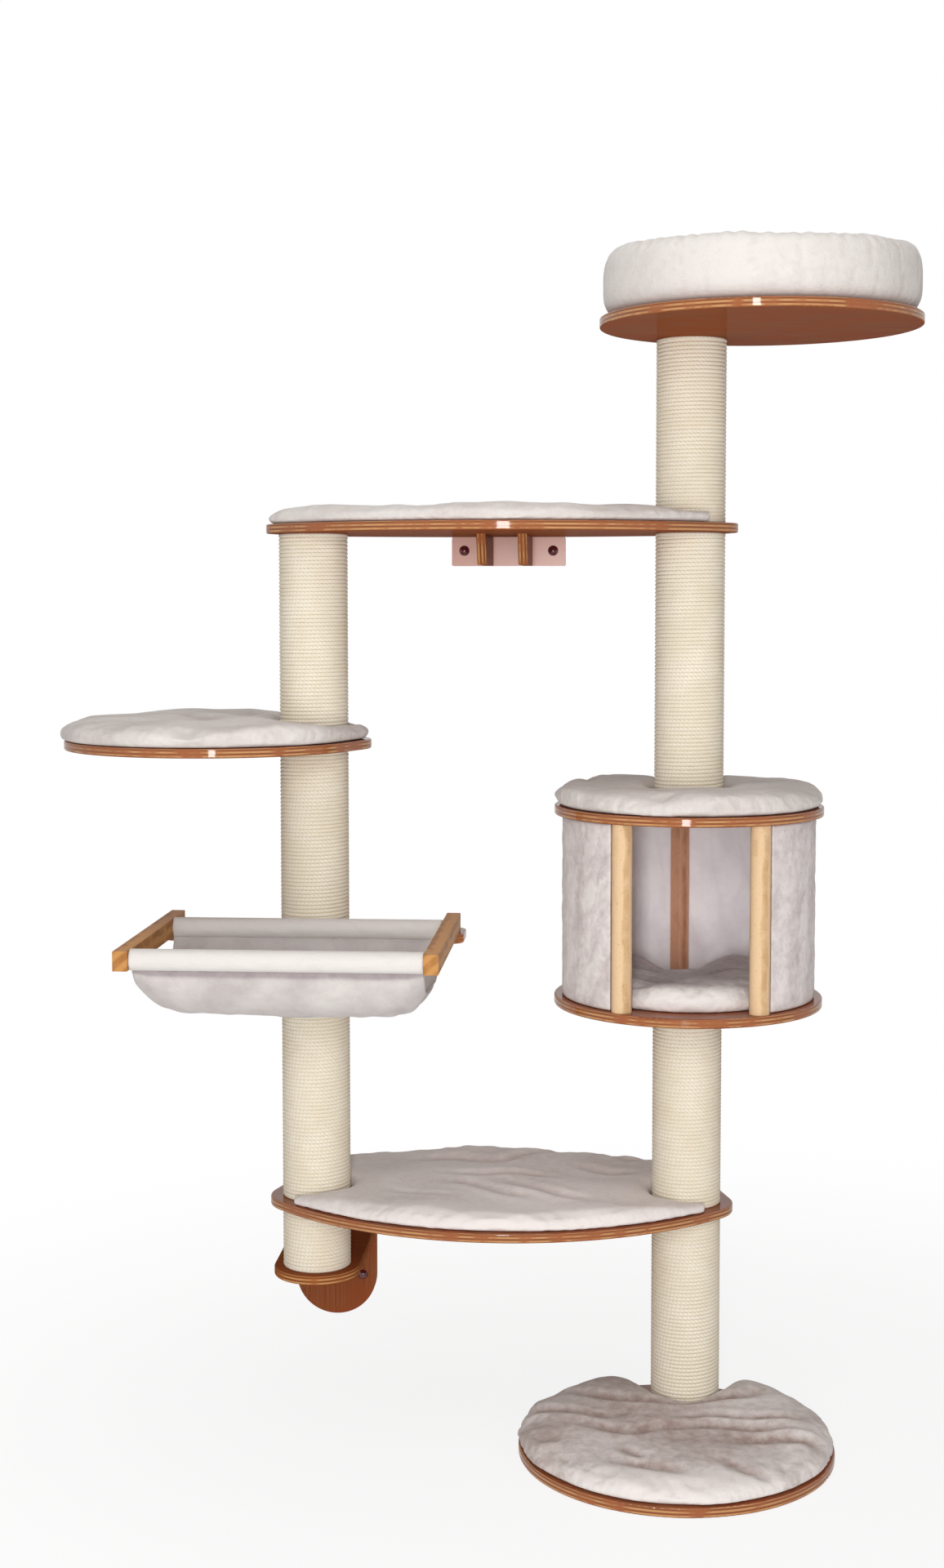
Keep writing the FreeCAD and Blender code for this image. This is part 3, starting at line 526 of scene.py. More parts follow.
def cushion_blank(name, node, pressure, slack, cap):
    """A closed skin of the CAD cushion in even small faces. Cloth then blows it up, with its
    cover cut a little too large, so that it swells and puckers; its foot stays on the board."""
    mesh = bpy.data.meshes.new(name)
    source = bmesh.new()
    source.from_mesh(NODES[node].data)
    bmesh.ops.remove_doubles(source, verts=source.verts, dist=0.01 * MM)
    source.to_mesh(mesh)
    source.free()
    piece = bpy.data.objects.new(name, mesh)
    bpy.context.scene.collection.objects.link(piece)
    skin = piece.modifiers.new("skin", "REMESH")
    skin.mode = "VOXEL"
    skin.voxel_size = VOXEL
    soft = piece.modifiers.new("soft", "SMOOTH")
    soft.factor = 0.5
    soft.iterations = 4
    apply_modifiers(piece)
    swell(piece, pressure, slack, cap)
    return piece


def swell(piece, pressure, slack, cap):
    """A few frames of Cloth under pressure and without gravity. A move of m becomes cap times
    tanh(m / cap), so no point moves further than cap, and the flat foot is pinned."""
    start = read_points(piece.data)
    foot = piece.vertex_groups.new(name="foot")
    resting = np.flatnonzero(start[:, 2] < start[:, 2].min() + 2 * MM)
    foot.add(resting.tolist(), 1.0, "REPLACE")
    cloth = piece.modifiers.new("cover", "CLOTH")
    values = cloth.settings
    values.quality = 4
    values.mass = 0.3
    values.tension_stiffness = 20
    values.compression_stiffness = 20
    values.shear_stiffness = 8
    values.bending_stiffness = 0.4
    values.use_pressure = True
    values.uniform_pressure_force = pressure
    values.shrink_min = -slack
    values.vertex_group_mass = "foot"
    values.effector_weights.gravity = 0
    cloth.point_cache.frame_start = 1
    cloth.point_cache.frame_end = CLOTH_FRAMES
    scene = bpy.context.scene
    for number in range(1, CLOTH_FRAMES + 1):
        scene.frame_set(number)
    graph = bpy.context.evaluated_depsgraph_get()
    blown = read_points(piece.evaluated_get(graph).data)
    piece.modifiers.clear()
    piece.vertex_groups.clear()
    scene.frame_set(1)
    move = blown - start
    size = np.linalg.norm(move, axis=1, keepdims=True)
    move *= cap * np.tanh(size / cap) / np.maximum(size, 1e-9)
    write_points(piece.data, start + move)


def push_rim_out(x, y, normals, share, look):
    """Moves the cushion's side outwards along its normals by the look's out, which waves make
    more or less, and which fades to nothing beside a post."""
    side = 1 - np.abs(normals[:, 2])
    push = look.get("out", 0) * MM * side * smooth_step(share, -0.1, 0.25)
    push *= 1 + 0.5 * waves(x, y, 110 * MM, look["seed"])
    for post_x, post_y in look.get("posts", ()):
        gap = np.hypot(x - post_x, y - post_y)
        push *= smooth_step(gap, 70 * MM, 100 * MM)
    return x + normals[:, 0] * push, y + normals[:, 1] * push


def draw_to_posts(x, y, look):
    """Draws the lip of each post's hollow in to CLEAR_R of the post's axis: distances from its
    nearest point out to DRAWN_R are stretched evenly to start at CLEAR_R. Where the hollow is
    a slot that runs out behind the post, its two banks are drawn together in the same way, to
    CLEAR_R beside the post and to the look's slot from the middle further back."""
    for post_x, post_y in look.get("posts", ()):
        gap = np.hypot(x - post_x, y - post_y)
        near = (gap < DRAWN_R) & ((y < post_y) if look.get("slot") else True)
        least = gap[near].min()
        drawn = CLEAR_R + (gap - least) * (DRAWN_R - CLEAR_R) / (DRAWN_R - least)
        pull = np.where(near, drawn / gap, 1.0)
        x, y = post_x + (x - post_x) * pull, post_y + (y - post_y) * pull
    if look.get("slot"):
        post_x, post_y = look["posts"][0]
        gap = np.abs(x - post_x)
        behind = (gap < DRAWN_R) & (y >= post_y)
        least = gap[behind].min()
        edge = np.sqrt(np.maximum(CLEAR_R**2 - (y - post_y) ** 2, 0))
        edge = np.maximum(edge, look["slot"] * MM)
        drawn = edge + (gap - least) * (DRAWN_R - edge) / (DRAWN_R - least)
        x = np.where(behind, post_x + np.sign(x - post_x) * drawn, x)
    return x, y


def rise_of_top(x, y, look):
    """How far the top rises: slow waves, an even lift and bell-shaped mounds or hollows, less
    the pressed folds."""
    sunk, _ = fold_depth(x, y, look["folds"])
    rise = look.get("swell", 3) * MM * waves(x, y, look.get("length", 170) * MM, look["seed"] + 1)
    rise += look.get("lift", 0) * MM
    for height, width, (at_x, at_y) in look.get("mounds", ()):
        away = np.hypot(x - at_x * MM, y - at_y * MM) / (width * MM)
        rise += height * MM * np.exp(-(away**2))
    return rise - sunk


def cushion_nap_and_painted_light(x, y, look):
    """How light the cloth is painted: slow random patches of pile tone between the look's two
    values, spots of painted light and shade, painted light on the front rim and painted shade in
    the folds."""
    _, near = fold_depth(x, y, look["folds"])
    dark, bright = look.get("nap_and_painted_light", (0.45, 0.9))
    patch = waves(x, y, look.get("patch", 120) * MM, look["seed"] + 2, 0.1, 1.8)
    nap_and_painted_light = dark + (bright - dark) * smooth_step(patch, -1.2, 1.2)
    # painted light and shade in spots: each spot draws the tone toward its lightness
    for value, width, (at_x, at_y) in look.get("painted_light_spots", ()):
        away = np.hypot(x - at_x * MM, (y - at_y * MM) * 1.6) / (width * MM)
        nap_and_painted_light += (value - nap_and_painted_light) * 0.85 * np.exp(-(away**2))
    # painted light on the front rim: the cloth before the front line is painted light
    rim = look.get("front")
    if rim is not None:
        ahead = rim * MM - y + 8 * MM * waves(x, 0 * y, 60 * MM, 7)
        nap_and_painted_light += (1 - nap_and_painted_light) * smooth_step(ahead, 0, 40 * MM)
    # painted shade in the folds
    return nap_and_painted_light - look.get("shade", 0.5) * near


def shape_cushion(piece, node, board, body, finish, look):
    """Gives a blown cushion its look, then adds one subdivision and its tone of pile, painted
    light and painted shade. The foot stays on the board, the top moves in full from 85% of the
    height on, and nothing enters the wall."""
    base_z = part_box(board)[1].z + OVER_BOARD
    top_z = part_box(node)[1].z
    normals = read_normals(piece.data)
    x, y, z = read_points(piece.data).T
    share = np.clip((z - base_z) / (top_z - base_z), 0, 1.2)
    x, y = push_rim_out(x, y, normals, share, look)
    x, y = draw_to_posts(x, y, look)
    z = z + smooth_step(share, 0.3, 0.85) * rise_of_top(x, y, look)
    points = np.stack([x, np.minimum(y, WALL_Y), np.maximum(z, base_z)], -1)
    write_points(piece.data, points)
    fine = piece.modifiers.new("fine", "SUBSURF")
    fine.levels = 1
    fine.render_levels = 1
    apply_modifiers(piece)
    x, y, _ = read_points(piece.data).T
    set_nap_and_painted_light(piece, cushion_nap_and_painted_light(x, y, look))
    piece.data.materials.clear()
    piece.data.materials.append(finish)
    piece.data.shade_smooth()
    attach(piece, body)
    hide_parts(node)


# Each cushion's look, as the photograph shows it. Lengths and places are in millimetres, but
# for the posts, which are in metres. posts are those it is hollowed for, slot is half the width
# of a hollow that runs out behind, out how far its rim is pushed out, lift the height added,
# swell and length the height and the spacing of slow waves, fill how tight it is,
# nap_and_painted_light the darkest and lightest tone the cloth is painted, patch the spacing
# of the random patches between those, front the y before which the cloth is painted light, as
# painted light on the front rim, and shade how dark the painted shade in a fold is. Mounds are
# (height, width, place), painted_light_spots spots of painted light and shade (lightness,
# width, place) and folds (depth, width, line).
BASE_LOOK = {
    "seed": 11,
    "posts": (MAIN_POST,),
    "out": 7,
    "lift": 1,
    "swell": 4,
    "fill": 0.35,
    "nap_and_painted_light": (0.15, 0.75),
    "patch": 150,
    "front": -172,
    "shade": 0.6,
    "mounds": ((4, 80, (140, 210)), (2, 90, (-130, 170)), (4, 60, (230, 60))),
    "painted_light_spots": (
        (0.95, 70, (185, 80)),
        (0.9, 55, (130, 215)),
        (0.7, 60, (-190, 120)),
        (0.1, 80, (-70, 30)),
        (0.15, 70, (60, -60)),
        (0.15, 60, (-110, 190)),
        (0.9, 60, (235, -20)),
    ),
    "folds": (
        (8, 14, ((-205, 145), (-112, 105), (-50, 88), (55, 108), (118, 130), (190, 160))),
        (6, 12, ((-262, 52), (-205, 40), (-130, 22), (-90, 34))),
        (9, 13, ((-185, -8), (-65, -45), (-30, -20), (30, -10), (100, -15), (245, -8))),
        (6, 12, ((-5, 18), (50, 36), (110, 30), (190, 26), (242, 14))),
        (7, 13, ((75, -92), (120, -62), (165, -56), (215, -62), (242, -105))),
        (5, 10, ((-95, -100), (-75, -130), (-52, -150))),
        (5, 11, ((-120, -150), (-60, -175), (-10, -195), (28, -205))),
        (6, 15, ((-232, -75), (-188, -82))),
        (4, 11, ((60, -150), (110, -190), (150, -200))),
    ),
}
LOWER_LOOK = {
    "seed": 21,
    "posts": (MAIN_POST, SIDE_POST),
    "out": 3,
    "swell": 3,
    "fill": 0.35,
    "nap_and_painted_light": (0.5, 1.0),
    "patch": 140,
    "front": 70,
    "shade": 0.6,
    "painted_light_spots": (
        (0.4, 100, (-360, 385)),
        (0.35, 80, (-110, 320)),
        (0.35, 70, (-230, 230)),
        (1.0, 80, (-420, 230)),
        (1.0, 70, (-150, 180)),
    ),
    "folds": (
        (5, 13, ((-405, 190), (-350, 165), (-290, 112), (-240, 85))),
        (6, 14, ((-325, 300), (-285, 365), (-240, 398), (-195, 412))),
        (5, 12, ((-300, 195), (-255, 152), (-200, 112), (-140, 85))),
        (5, 13, ((-175, 300), (-112, 262), (-60, 268))),
        (5, 15, ((-470, 330), (-400, 345), (-330, 330), (-260, 345))),
        (4, 12, ((-120, 400), (-80, 360), (-50, 370))),
        (3, 10, ((-500, 130), (-440, 110), (-380, 90))),
        (4, 11, ((-420, 240), (-340, 225), (-280, 240), (-200, 215))),
    ),
}
UPPER_LOOK = {
    "seed": 31,
    "posts": (MAIN_POST,),
    "out": 4,
    "lift": -2,
    "swell": 3,
    "length": 200,
    "fill": 0.45,
    "folds": (
        (6, 24, ((-480, 380), (-440, 250), (-430, 120), (-420, 20))),
        (5, 26, ((-250, 420), (-270, 260), (-230, 120), (-240, -10))),
    ),
    "mounds": (
        (6, 70, (-640, 250)),
        (5, 60, (-640, 120)),
        (-5, 130, (-330, 220)),
        (4, 90, (-90, 300)),
    ),
}
LEFT_LOOK = {
    "seed": 41,
    "posts": (SIDE_POST,),
    "out": 4,
    "lift": -5,
    "swell": 4,
    "length": 190,
    "fill": 0.45,
    "nap_and_painted_light": (0.3, 0.85),
    "mounds": ((7, 130, (-880, 330)), (5, 70, (-700, 60)), (-6, 60, (-770, 320))),
    "folds": (
        (6, 20, ((-1020, 60), (-950, 95), (-880, 70), (-820, 100))),
        (6, 18, ((-900, 240), (-840, 180), (-790, 120))),
        (5, 16, ((-760, 400), (-770, 300), (-760, 210))),
    ),
}
ROOF_LOOK = {
    "seed": 51,
    "posts": (MAIN_POST,),
    "slot": 30,
    "out": 4,
    "lift": -2,
    "swell": 3,
    "fill": 0.5,
    "nap_and_painted_light": (0.35, 0.85),
    "mounds": ((-11, 70, (235, 150)), (-9, 60, (-70, 110)), (-5, 60, (110, 90))),
    "painted_light_spots": ((0.1, 60, (160, 240)), (0.2, 60, (-60, 90))),
    "folds": (
        (6, 14, ((-150, 60), (-80, 75), (-20, 40), (40, 55))),
        (5, 14, ((-170, 330), (-150, 280), (-160, 220))),
        (5, 13, ((60, 80), (120, 60), (190, 80))),
    ),
}
CAVE_LOOK = {
    "seed": 61,
    "out": 2,
    "swell": 2,
    "length": 110,
    "fill": 0.5,
    # the floor inside the cave is painted dark, as painted shade under the roof, and light on its
    # front face, as painted light
    "nap_and_painted_light": (0.1, 0.5),
    "patch": 70,
    "front": 45,
    "mounds": (
        (-6, 400, (20, 175)),
        (-30, 66, (8, 335)),
        (-16, 70, (5, 235)),
        (15, 45, (-85, 290)),
        (12, 48, (100, 285)),
        (-12, 60, (-30, 110)),
    ),
    "folds": (
        (6, 12, ((-60, 130), (-10, 90), (30, 75))),
        (5, 12, ((50, 150), (80, 190), (120, 200))),
    ),
}


def cushions():
    """Every flat cushion but the bed's pad, blown up and then shaped as the photograph shows
    it. All of them but the cave floor's lift off."""
    for place, body, finish, look, pressure in (
        ("base", "cushion_base", BASE_PLUSH, BASE_LOOK, 3.0),
        ("lower_shelf", "cushion_lower_shelf", SHELF_PLUSH, LOWER_LOOK, 3.0),
        ("upper_shelf", "cushion_upper_shelf", PLUSH, UPPER_LOOK, 4.0),
        ("left_shelf", "cushion_left_shelf", PLUSH, LEFT_LOOK, 4.0),
        ("cave_roof", "cushion_cave_roof", PLUSH, ROOF_LOOK, 4.0),
        ("cave_floor", "tree", CAVE_PLUSH, CAVE_LOOK, 4.0),
    ):
        node = place + "_cushion"
        piece = cushion_blank("plush_" + node, node, pressure, COVER_SLACK, COVER_CAP)
        shape_cushion(piece, node, place + "_board", body, finish, look)


# ---- round bed ----------------------------------------------------------------------------

# half the bolster's width across its section
BOLSTER_HALF = 48 * MM
PAD_LOOK = {
    "seed": 71,
    "swell": 2,
    "fill": 0.4,
    "nap_and_painted_light": (0.4, 0.8),
    "folds": (
        (5, 14, ((20, 60), (80, 90), (150, 60), (220, 90))),
        (4, 12, ((60, -40), (120, -10), (190, -30))),
    ),
}


def bed():
    """The bolster: a ring whose section is a rounded square, the powers 0.58 and 0.62 of cosine
    and sine, a little narrower at its foot. Its rim rises and falls a few millimetres, and
    upright creases gather the cover, most at the right. The pad lies inside it."""
    low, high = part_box("bed_bolster")
    cx, cy = (low.x + high.x) / 2, (low.y + high.y) / 2
    middle = (high.x - low.x) / 2 - BOLSTER_HALF
    height = high.z - low.z
    rings, section = 360, 80
    angle = np.linspace(0, TAU, rings, endpoint=False)[:, None]
    turn = np.linspace(0, TAU, section, endpoint=False)[None, :]
    s, c = np.sin(turn), np.cos(turn)
    wide = BOLSTER_HALF * np.sign(c) * np.abs(c) ** 0.58
    wide = wide * (1 - 0.06 * smooth_step(-s, 0.2, 1.0))
    belly_z = 0.5 * height
    up = np.sign(s) * np.abs(s) ** 0.62
    z = belly_z + np.where(s > 0, height - belly_z, belly_z) * up + 0 * angle
    arc = angle * middle + 0 * turn
    across = turn * BOLSTER_HALF + 0 * angle
    right_side = 0.5 + 0.5 * np.cos(angle + 0.5)
    slow = np.sin(3 * angle + 0.6) * 0.5 + np.sin(7 * angle + 2.0) * 0.3 + np.sin(13 * angle) * 0.2
    crease = creases(arc, across * 0.25, 95 * MM, 83, math.pi / 2, 3.0, 0.16)
    ripple = np.sin(47 * angle + 2 * slow) * 0.5 + np.sin(71 * angle + 1.0) * 0.5
    # the cover puckers near the top and near the foot
    gather = np.exp(-(((s - 0.9) / 0.35) ** 2)) + 0.7 * np.exp(-(((s + 0.75) / 0.3) ** 2))
    out = 2.0 * MM * slow - 1.3 * MM * crease * right_side + 0.9 * MM * ripple * gather
    radius = middle + wide + out * np.sign(c) * np.abs(c) ** 0.5
    # the rim is fuller at its two sides and pressed a little at the front
    sides = 7 * MM * np.cos(angle) ** 2 - 5 * MM * np.maximum(-np.sin(angle), 0) ** 2
    z = z + (sides + 2 * MM * slow + MM * ripple + out * 0.6) * np.maximum(s, 0)
    points = np.stack(
        [cx + radius * np.cos(angle), cy + radius * np.sin(angle), low.z + np.maximum(z, 0)], -1
    )
    faces = quads(rings, section, wrap_rows=True, wrap_columns=True)
    piece = new_piece("plush_bed_bolster", points, faces, PLUSH, "bed")
    # painted light where the rim swells and painted shade in the creases at the right
    set_nap_and_painted_light(piece, (0.85 + 0.12 * slow - 0.25 * crease * right_side + 0 * turn).ravel())
    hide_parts("bed_bolster")
    pad = cushion_blank("plush_bed_pad", "bed_pad", 3.0, 0.01, 4 * MM)
    shape_cushion(pad, "bed_pad", "bed_board", "bed", PLUSH, PAD_LOOK)


# ---- cave walls ---------------------------------------------------------------------------

# the front dowels' place from the cave's axis, and how near to a dowel's axis the plush ends
DOWEL_X = 114 * MM
DOWEL_Y = -176 * MM
DOWEL_CLEAR = 17.8 * MM
CAVE_OPEN = math.atan2(DOWEL_Y, DOWEL_X) + 2 * math.asin(
    DOWEL_CLEAR / (2 * math.hypot(DOWEL_X, DOWEL_Y))
)
# the plush's thickness, how far it lies inside the solid's box, and how many radians short of
# the dowels it ends
WALL_THICK = 3.6 * MM
WALL_INSET = 0.1 * MM
WALL_TRIM = 0.002


def thicken(piece, thick):
    """Gives a sheet its thickness, half on each side."""
    wall = piece.modifiers.new("cloth", "SOLIDIFY")
    wall.thickness = thick
    wall.offset = 0.0
    apply_modifiers(piece)
    piece.data.shade_smooth()


def cave_wall(name, node, finish, seed, bulge):
    """Plush stretched over the bent panel: a sheet on part of a cylinder between the front
    dowels, with low soft patches that fade at its edges. bulge is 1 where the patches stand
    out from the axis and -1 where they stand in."""
    low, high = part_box(node)
    outer = (high.x - low.x) / 2
    cx = (low.x + high.x) / 2
    cy = high.y - outer
    radius = outer - WALL_THICK / 2 - WALL_INSET
    start = CAVE_OPEN + WALL_TRIM
    columns, rows = 300, 90
    angle = np.linspace(start, math.pi - start, columns)[:, None]
    level = np.linspace(low.z + WALL_THICK / 2, high.z - WALL_THICK / 2, rows)[None, :]
    arc = angle * radius + 0 * level
    z = level + 0 * arc
    soft = waves(arc, z, 60 * MM, seed) * 0.9 * MM
    soft += waves(arc, z, 24 * MM, seed + 1) * 0.4 * MM
    dent = creases(arc, z, 90 * MM, seed + 2, 1.2, 2.0, 0.15) * 0.8 * MM
    edge = smooth_step(np.minimum(z - z.min(), z.max() - z), 0, 12 * MM)
    ends = smooth_step(np.minimum(arc - arc.min(), arc.max() - arc), 0, 12 * MM)
    radial = radius + bulge * (np.abs(soft) - dent) * edge * ends
    points = np.stack([cx + radial * np.cos(angle), cy + radial * np.sin(angle), z], -1)
    piece = new_piece(name, points, quads(columns, rows), finish, "tree")
    lie = waves(arc, z, 55 * MM, seed + 3, 1.0, 2.2)
    # random patches of pile tone, and painted shade in the dents
    set_nap_and_painted_light(piece, (0.55 + 0.32 * lie - 0.3 * dent / MM).ravel())
    thicken(piece, WALL_THICK)
    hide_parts(node)


# ---- hammock ------------------------------------------------------------------------------

# the cloth's thickness
SLING_THICK = 2.6 * MM


def sling():
    """The hammock's cloth, one sheet: sewn round the front dowel, hung in a deep belly and
    sewn round the rear dowel. From dowel to dowel the belly sinks as a flat-bottomed arc, 1 less
    the power 3.2 of the distance from its middle, all to the power 0.7. Its sag falls off at
    both ends, where the cloth is drawn up in slanting folds."""
    low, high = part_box("hammock_sling")
    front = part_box("hammock_front_dowel")
    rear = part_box("hammock_rear_dowel")
    y0, y1 = (front[0].y + front[1].y) / 2, (rear[0].y + rear[1].y) / 2
    level = (front[0].z + front[1].z) / 2
    roll = (front[1].y - front[0].y) / 2 + 0.6 * MM + SLING_THICK / 2
    half = (high.x - low.x) / 2
    cx, cy = (low.x + high.x) / 2, (y0 + y1) / 2
    columns, round_steps, belly_steps = 170, 28, 110
    u = np.linspace(-1, 1, columns)[:, None]
    # the sag falls off at both ends as the tenth power of the distance from the middle
    deepest = level - roll - low.z - 1.5 * MM
    sag = deepest * (1 - 0.45 * np.abs(u) ** 10) * (1 + 0.03 * u)
    # round each dowel: from its foot, up the inner side, over the top and down the outer side
    swing = np.linspace(0, TAU * 0.985, round_steps)[None, :]
    front_y = y0 + roll * np.sin(swing) + 0 * u
    front_z = level - roll * np.cos(swing) + 0 * u
    rear_y = y1 - roll * np.sin(swing[:, ::-1]) + 0 * u
    rear_z = level - roll * np.cos(swing[:, ::-1]) + 0 * u
    # the belly's steps lie closer together near the dowels, where it is steep
    t = 0.5 - 0.5 * np.cos(np.linspace(0, math.pi, belly_steps + 2))[None, 1:-1]
    start_y, end_y = y0 + 8 * MM, y1 - 8 * MM
    belly_y = start_y + (end_y - start_y) * t + 0 * u
    belly_z = level - roll - sag * (1 - np.abs(2 * t - 1) ** 3.2) ** 0.7

    def on_belly(values):
        """Values on the belly's steps, and 0 on both rolls."""
        return np.concatenate([0 * front_y, values + 0 * u, 0 * rear_y], 1)

    y = np.concatenate([front_y, belly_y, rear_y], 1)
    z = np.concatenate([front_z, belly_z, rear_z], 1)
    x = cx + half * u + 0 * y
    hang = on_belly(np.sin(math.pi * t) ** 0.5)
    near_end = smooth_step(np.abs(u), 0.55, 0.98)
    slant = creases(np.abs(x - cx), y - y0, 70 * MM, 91, 2.4, 3.2, 0.3)
    z += hang * near_end * 7 * MM * (slant - 0.3)
    y -= hang * near_end * 7 * MM * slant * (y < cy)
    z += hang * 2.2 * MM * waves(x, y, 130 * MM, 92)
    z += hang * 0.8 * MM * waves(x, y, 45 * MM, 93)
    y += (1 - hang) * 0.5 * MM * waves(x, z * 3, 50 * MM, 94)
    # the ends of the belly are drawn in a little between the bars
    x -= np.sign(u) * hang * 5 * MM * smooth_step(np.abs(u), 0.8, 1.0) * (sag / sag.max())
    points = np.stack([x, y, z], -1)
    faces = quads(columns, points.shape[1])
    piece = new_piece("plush_hammock_sling", points, faces, SLING_PLUSH, "tree")
    # the cloth is painted dark along the seam under the front roll, as painted shadow of the roll,
    # and darker on the belly and in the slanting folds, as painted shade
    roll_shadow = on_belly(np.exp(-(((t - 0.004) / 0.006) ** 2)))
    lie = 1.0 - 0.45 * on_belly(1 + 0 * t) + 0.12 * waves(x, y, 90 * MM, 95, 2.4, 2.0)
    lie -= 0.4 * near_end * slant * hang
    set_nap_and_painted_light(piece, (lie - 0.75 * roll_shadow).ravel())
    thicken(piece, SLING_THICK)
    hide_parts("hammock_sling")


# ---- what the CAD nodes wear --------------------------------------------------------------


def dress_nodes():
    """Gives every node that stays its own finish, with its plies or rings where they belong."""
    for board in (
        "base_board",
        "foot_board",
        "lower_shelf_board",
        "cave_floor_board",
        "hammock_board",
        "cave_roof_board",
        "left_shelf_board",
        "upper_shelf_board",
        "bed_board",
    ):
        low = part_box(board)[0]
        # at its grazing angle a glossy foot board mirrors the room as a white line
        gloss = 0.0 if board == "foot_board" else 2.0
        dress(board, lacquered_plywood("lacquered_plywood_" + board, 2, low.z, 0, gloss))
    for plate, along, coat in (
        # the upper plate's veneer is painted three quarters of the way to a light pink, as a
        # painted reflection
        ("upper_wall_plate", 0, {"gloss": 2.2, "soft": 0.25, "painted_sheen": 0.75}),
        ("lower_wall_plate", 2, {"gloss": 0.15, "soft": 0.2}),
    ):
        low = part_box(plate)[0]
        dress(plate, lacquered_plywood("lacquered_plywood_" + plate, 1, low.y, along, **coat))
    for gusset in ("gusset_left", "gusset_right"):
        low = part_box(gusset)[0]
        finish = lacquered_plywood("lacquered_plywood_" + gusset, 0, low.x, 1, soft=0.25)
        dress(gusset, finish)
    for bar in ("hammock_bar_left", "hammock_bar_right"):
        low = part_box(bar)[0]
        pith = (-low.x - 0.05, 0.0, -low.z + 0.03)
        dress(bar, lacquered_beech("lacquered_beech_" + bar, 1, pith))
    for dowel in ("hammock_front_dowel", "hammock_rear_dowel"):
        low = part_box(dowel)[0]
        dress(dowel, lacquered_beech("lacquered_beech_" + dowel, 0, (0.0, -low.y, -low.z)))
    for dowel in ("cave_dowel_left", "cave_dowel_right"):
        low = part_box(dowel)[0]
        pith = (-low.x + 0.01, -low.y + 0.02, 0.0)
        dress(dowel, lacquered_beech("lacquered_beech_" + dowel, 2, pith, "#E2C29B", "#C9A478"))
    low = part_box("cave_back_post")[0]
    pith = (-low.x + 0.02, -low.y + 0.03, 0.0)
    dress(
        "cave_back_post",
        lacquered_beech("stained_beech_post", 2, pith, "#DCA585", "#BC8264"),
    )
    for node in NODES:
        if "_core_" in node:
            dress(node, KRAFT)
        elif node.endswith("_plugs"):
            dress(node, PLUG_WOOD)
        elif node.endswith("_caps"):
            dress(node, CAPS)
        elif node.endswith("_screws") or node in ("joining_studs", "end_bolts"):
            dress(node, STEEL)
        elif node == "cave_wall_panel":
            dress(node, HARDBOARD)


# ---- light, floor and camera --------------------------------------------------------------

FLOOR_REACH = 9.0
FLOOR_DROP = 0.5 * MM

# name, place, aim, width, height and power of each lamp, in metres and watts
LAMPS = (
    ("glint_lamp", (-0.26, -3.6, 1.4), (-0.25, 0.2, 1.4), 0.32, 2.7, 72.0),
    ("front_lamp", (0.1, -3.9, 1.1), (-0.2, 0.2, 1.0), 1.0, 1.0, 17.0),
    ("left_soft_lamp", (-3.2, -2.6, 2.4), (-0.4, 0.2, 1.0), 2.0, 2.0, 7.0),
    ("right_soft_lamp", (2.8, -2.8, 2.2), (-0.1, 0.2, 1.0), 2.0, 2.0, 10.0),
    ("top_soft_lamp", (-0.3, -0.7, 4.2), (-0.3, -0.1, 0.0), 2.6, 2.6, 34.0),
)


def any_ray(tree, *kinds):
    """1 for a ray of any of these kinds, outputs of the Light Path node, and 0 for others."""
    paths = add(tree, "ShaderNodeLightPath").outputs
    found = paths[kinds[0]]
    for kind in kinds[1:]:
        found = math_node(tree, "MAXIMUM", found, paths[kind])
    return found


def pale_floor():
    """A white floor that takes the shadow near the object and turns to plain white away from
    it, so that no horizon shows."""
    mesh = bpy.data.meshes.new("studio_floor")
    corners = [(-1, -1), (1, -1), (1, 1), (-1, 1)]
    points = [(x * FLOOR_REACH, y * FLOOR_REACH, -FLOOR_DROP) for x, y in corners]
    mesh.from_pydata(points, [], [(0, 1, 2, 3)])
    floor = bpy.data.objects.new("studio_floor", mesh)
    bpy.context.scene.collection.objects.link(floor)
    made, tree, shader = material("pale_floor", Roughness=0.9)
    shader.inputs["Base Color"].default_value = linear("#F4F4F4")
    seen = any_ray(tree, "Is Camera Ray", "Is Glossy Ray")
    place = add(tree, "ShaderNodeTexCoord").outputs["Object"]
    away = add(tree, "ShaderNodeVectorMath", [(0, place)], operation="LENGTH").outputs["Value"]
    far = math_node(tree, "MULTIPLY", ramp(tree, away, 0.4, 2.2), 0.16)
    share = math_node(tree, "MULTIPLY", seen, math_node(tree, "ADD", far, 0.84))
    glow = add(tree, "ShaderNodeEmission", [("Color", (1, 1, 1, 1)), ("Strength", 1.0)])
    mixed = add(
        tree,
        "ShaderNodeMixShader",
        [(0, share), (1, shader.outputs[0]), (2, glow.outputs[0])],
    )
    output = next(n for n in tree.nodes if n.type == "OUTPUT_MATERIAL")
    tree.links.new(mixed.outputs[0], output.inputs["Surface"])
    mesh.materials.append(made)


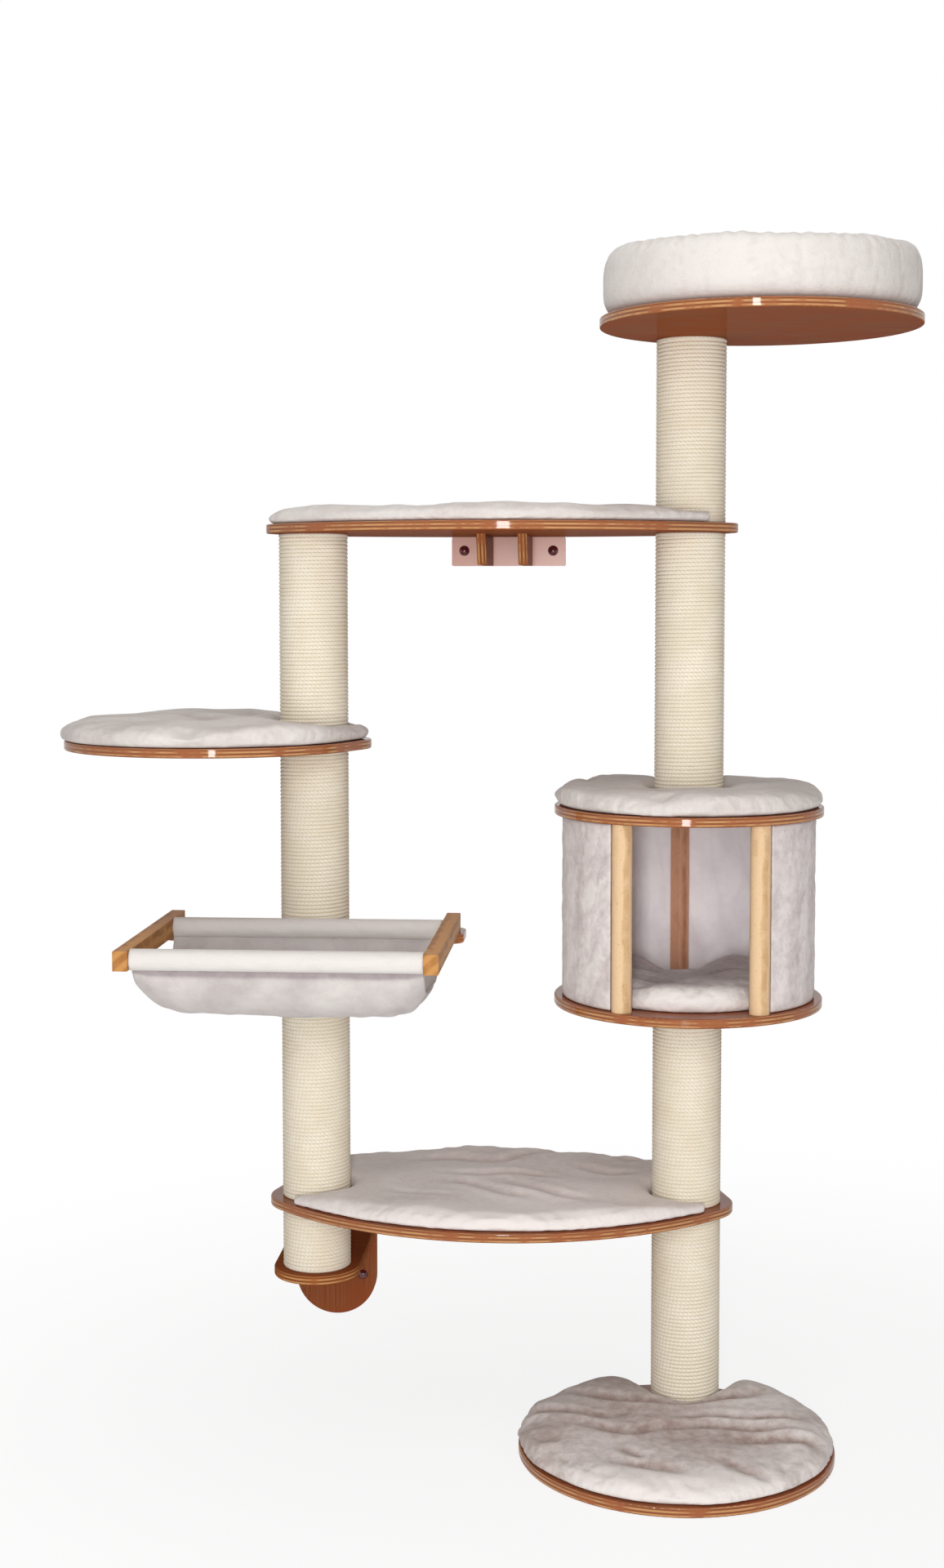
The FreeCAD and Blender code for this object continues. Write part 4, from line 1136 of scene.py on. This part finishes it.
def white_room():
    """A world that is white to the camera, to glossy faces and through clear ones, and a dim
    warm grey as light."""
    world = bpy.data.worlds.new("studio_world")
    bpy.context.scene.world = world
    world.use_nodes = True
    tree = world.node_tree
    tree.nodes.clear()
    seen = any_ray(tree, "Is Camera Ray", "Is Glossy Ray", "Is Transmission Ray")
    room = add(tree, "ShaderNodeBackground", [("Color", linear("#F1ECE8")), ("Strength", 0.36)])
    white = add(tree, "ShaderNodeBackground", [("Color", (1, 1, 1, 1)), ("Strength", 1.0)])
    mixed = add(
        tree, "ShaderNodeMixShader", [(0, seen), (1, room.outputs[0]), (2, white.outputs[0])]
    )
    add(tree, "ShaderNodeOutputWorld", [("Surface", mixed.outputs[0])])


def studio():
    """The floor, the room and the lamps: a tall narrow lamp beside the camera, which the glossy
    edges mirror as glints, and soft lamps that nothing mirrors."""
    bpy.context.scene.view_settings.view_transform = "Standard"
    pale_floor()
    white_room()
    for name, place, aim, width, height, power in LAMPS:
        lamp = bpy.data.lights.new(name, "AREA")
        lamp.shape = "RECTANGLE"
        lamp.size = width
        lamp.size_y = height
        lamp.energy = power
        holder = bpy.data.objects.new(name, lamp)
        bpy.context.scene.collection.objects.link(holder)
        holder.location = place
        holder.visible_glossy = name == "glint_lamp"
        way = np.array(aim) - np.array(place)
        way /= np.linalg.norm(way)
        yaw = math.atan2(-way[0], way[1])
        holder.rotation_euler = (math.pi / 2 + math.asin(way[2]), 0, yaw)


# the camera's place, and its three turns in radians
CAMERA_PLACE = (-85.6 * MM, -3520.1 * MM, 1439.4 * MM)
CAMERA_FALL = 0.0716
CAMERA_ROLL = 0.0005
CAMERA_HEADING = 0.0728


def camera():
    """The photograph's camera: its place, a fall and a heading of 4 degrees, and its lens."""
    lens = bpy.data.cameras.new("camera")
    lens.sensor_fit = "VERTICAL"
    lens.sensor_height = 36.0
    lens.lens = 49.14
    lens.shift_y = -0.024
    lens.clip_end = 60.0
    holder = bpy.data.objects.new("camera", lens)
    bpy.context.scene.collection.objects.link(holder)
    holder.location = CAMERA_PLACE
    holder.rotation_euler = (math.pi / 2 - CAMERA_FALL, CAMERA_ROLL, CAMERA_HEADING)
    bpy.context.scene.camera = holder


camera()
studio()
dress_nodes()
for segment in ("base", "middle", "upper", "top"):
    wound_rope("sisal_main_" + segment, "main_sisal_" + segment)
for segment in ("foot", "lower", "middle", "upper"):
    wound_rope("sisal_side_" + segment, "side_sisal_" + segment)
cave_wall("plush_cave_wall_outer", "cave_wall_outer_plush", WALL_PLUSH, 101, 1.0)
cave_wall("plush_cave_wall_inner", "cave_wall_inner_plush", LINING_PLUSH, 111, -1.0)
cushions()
bed()
sling()
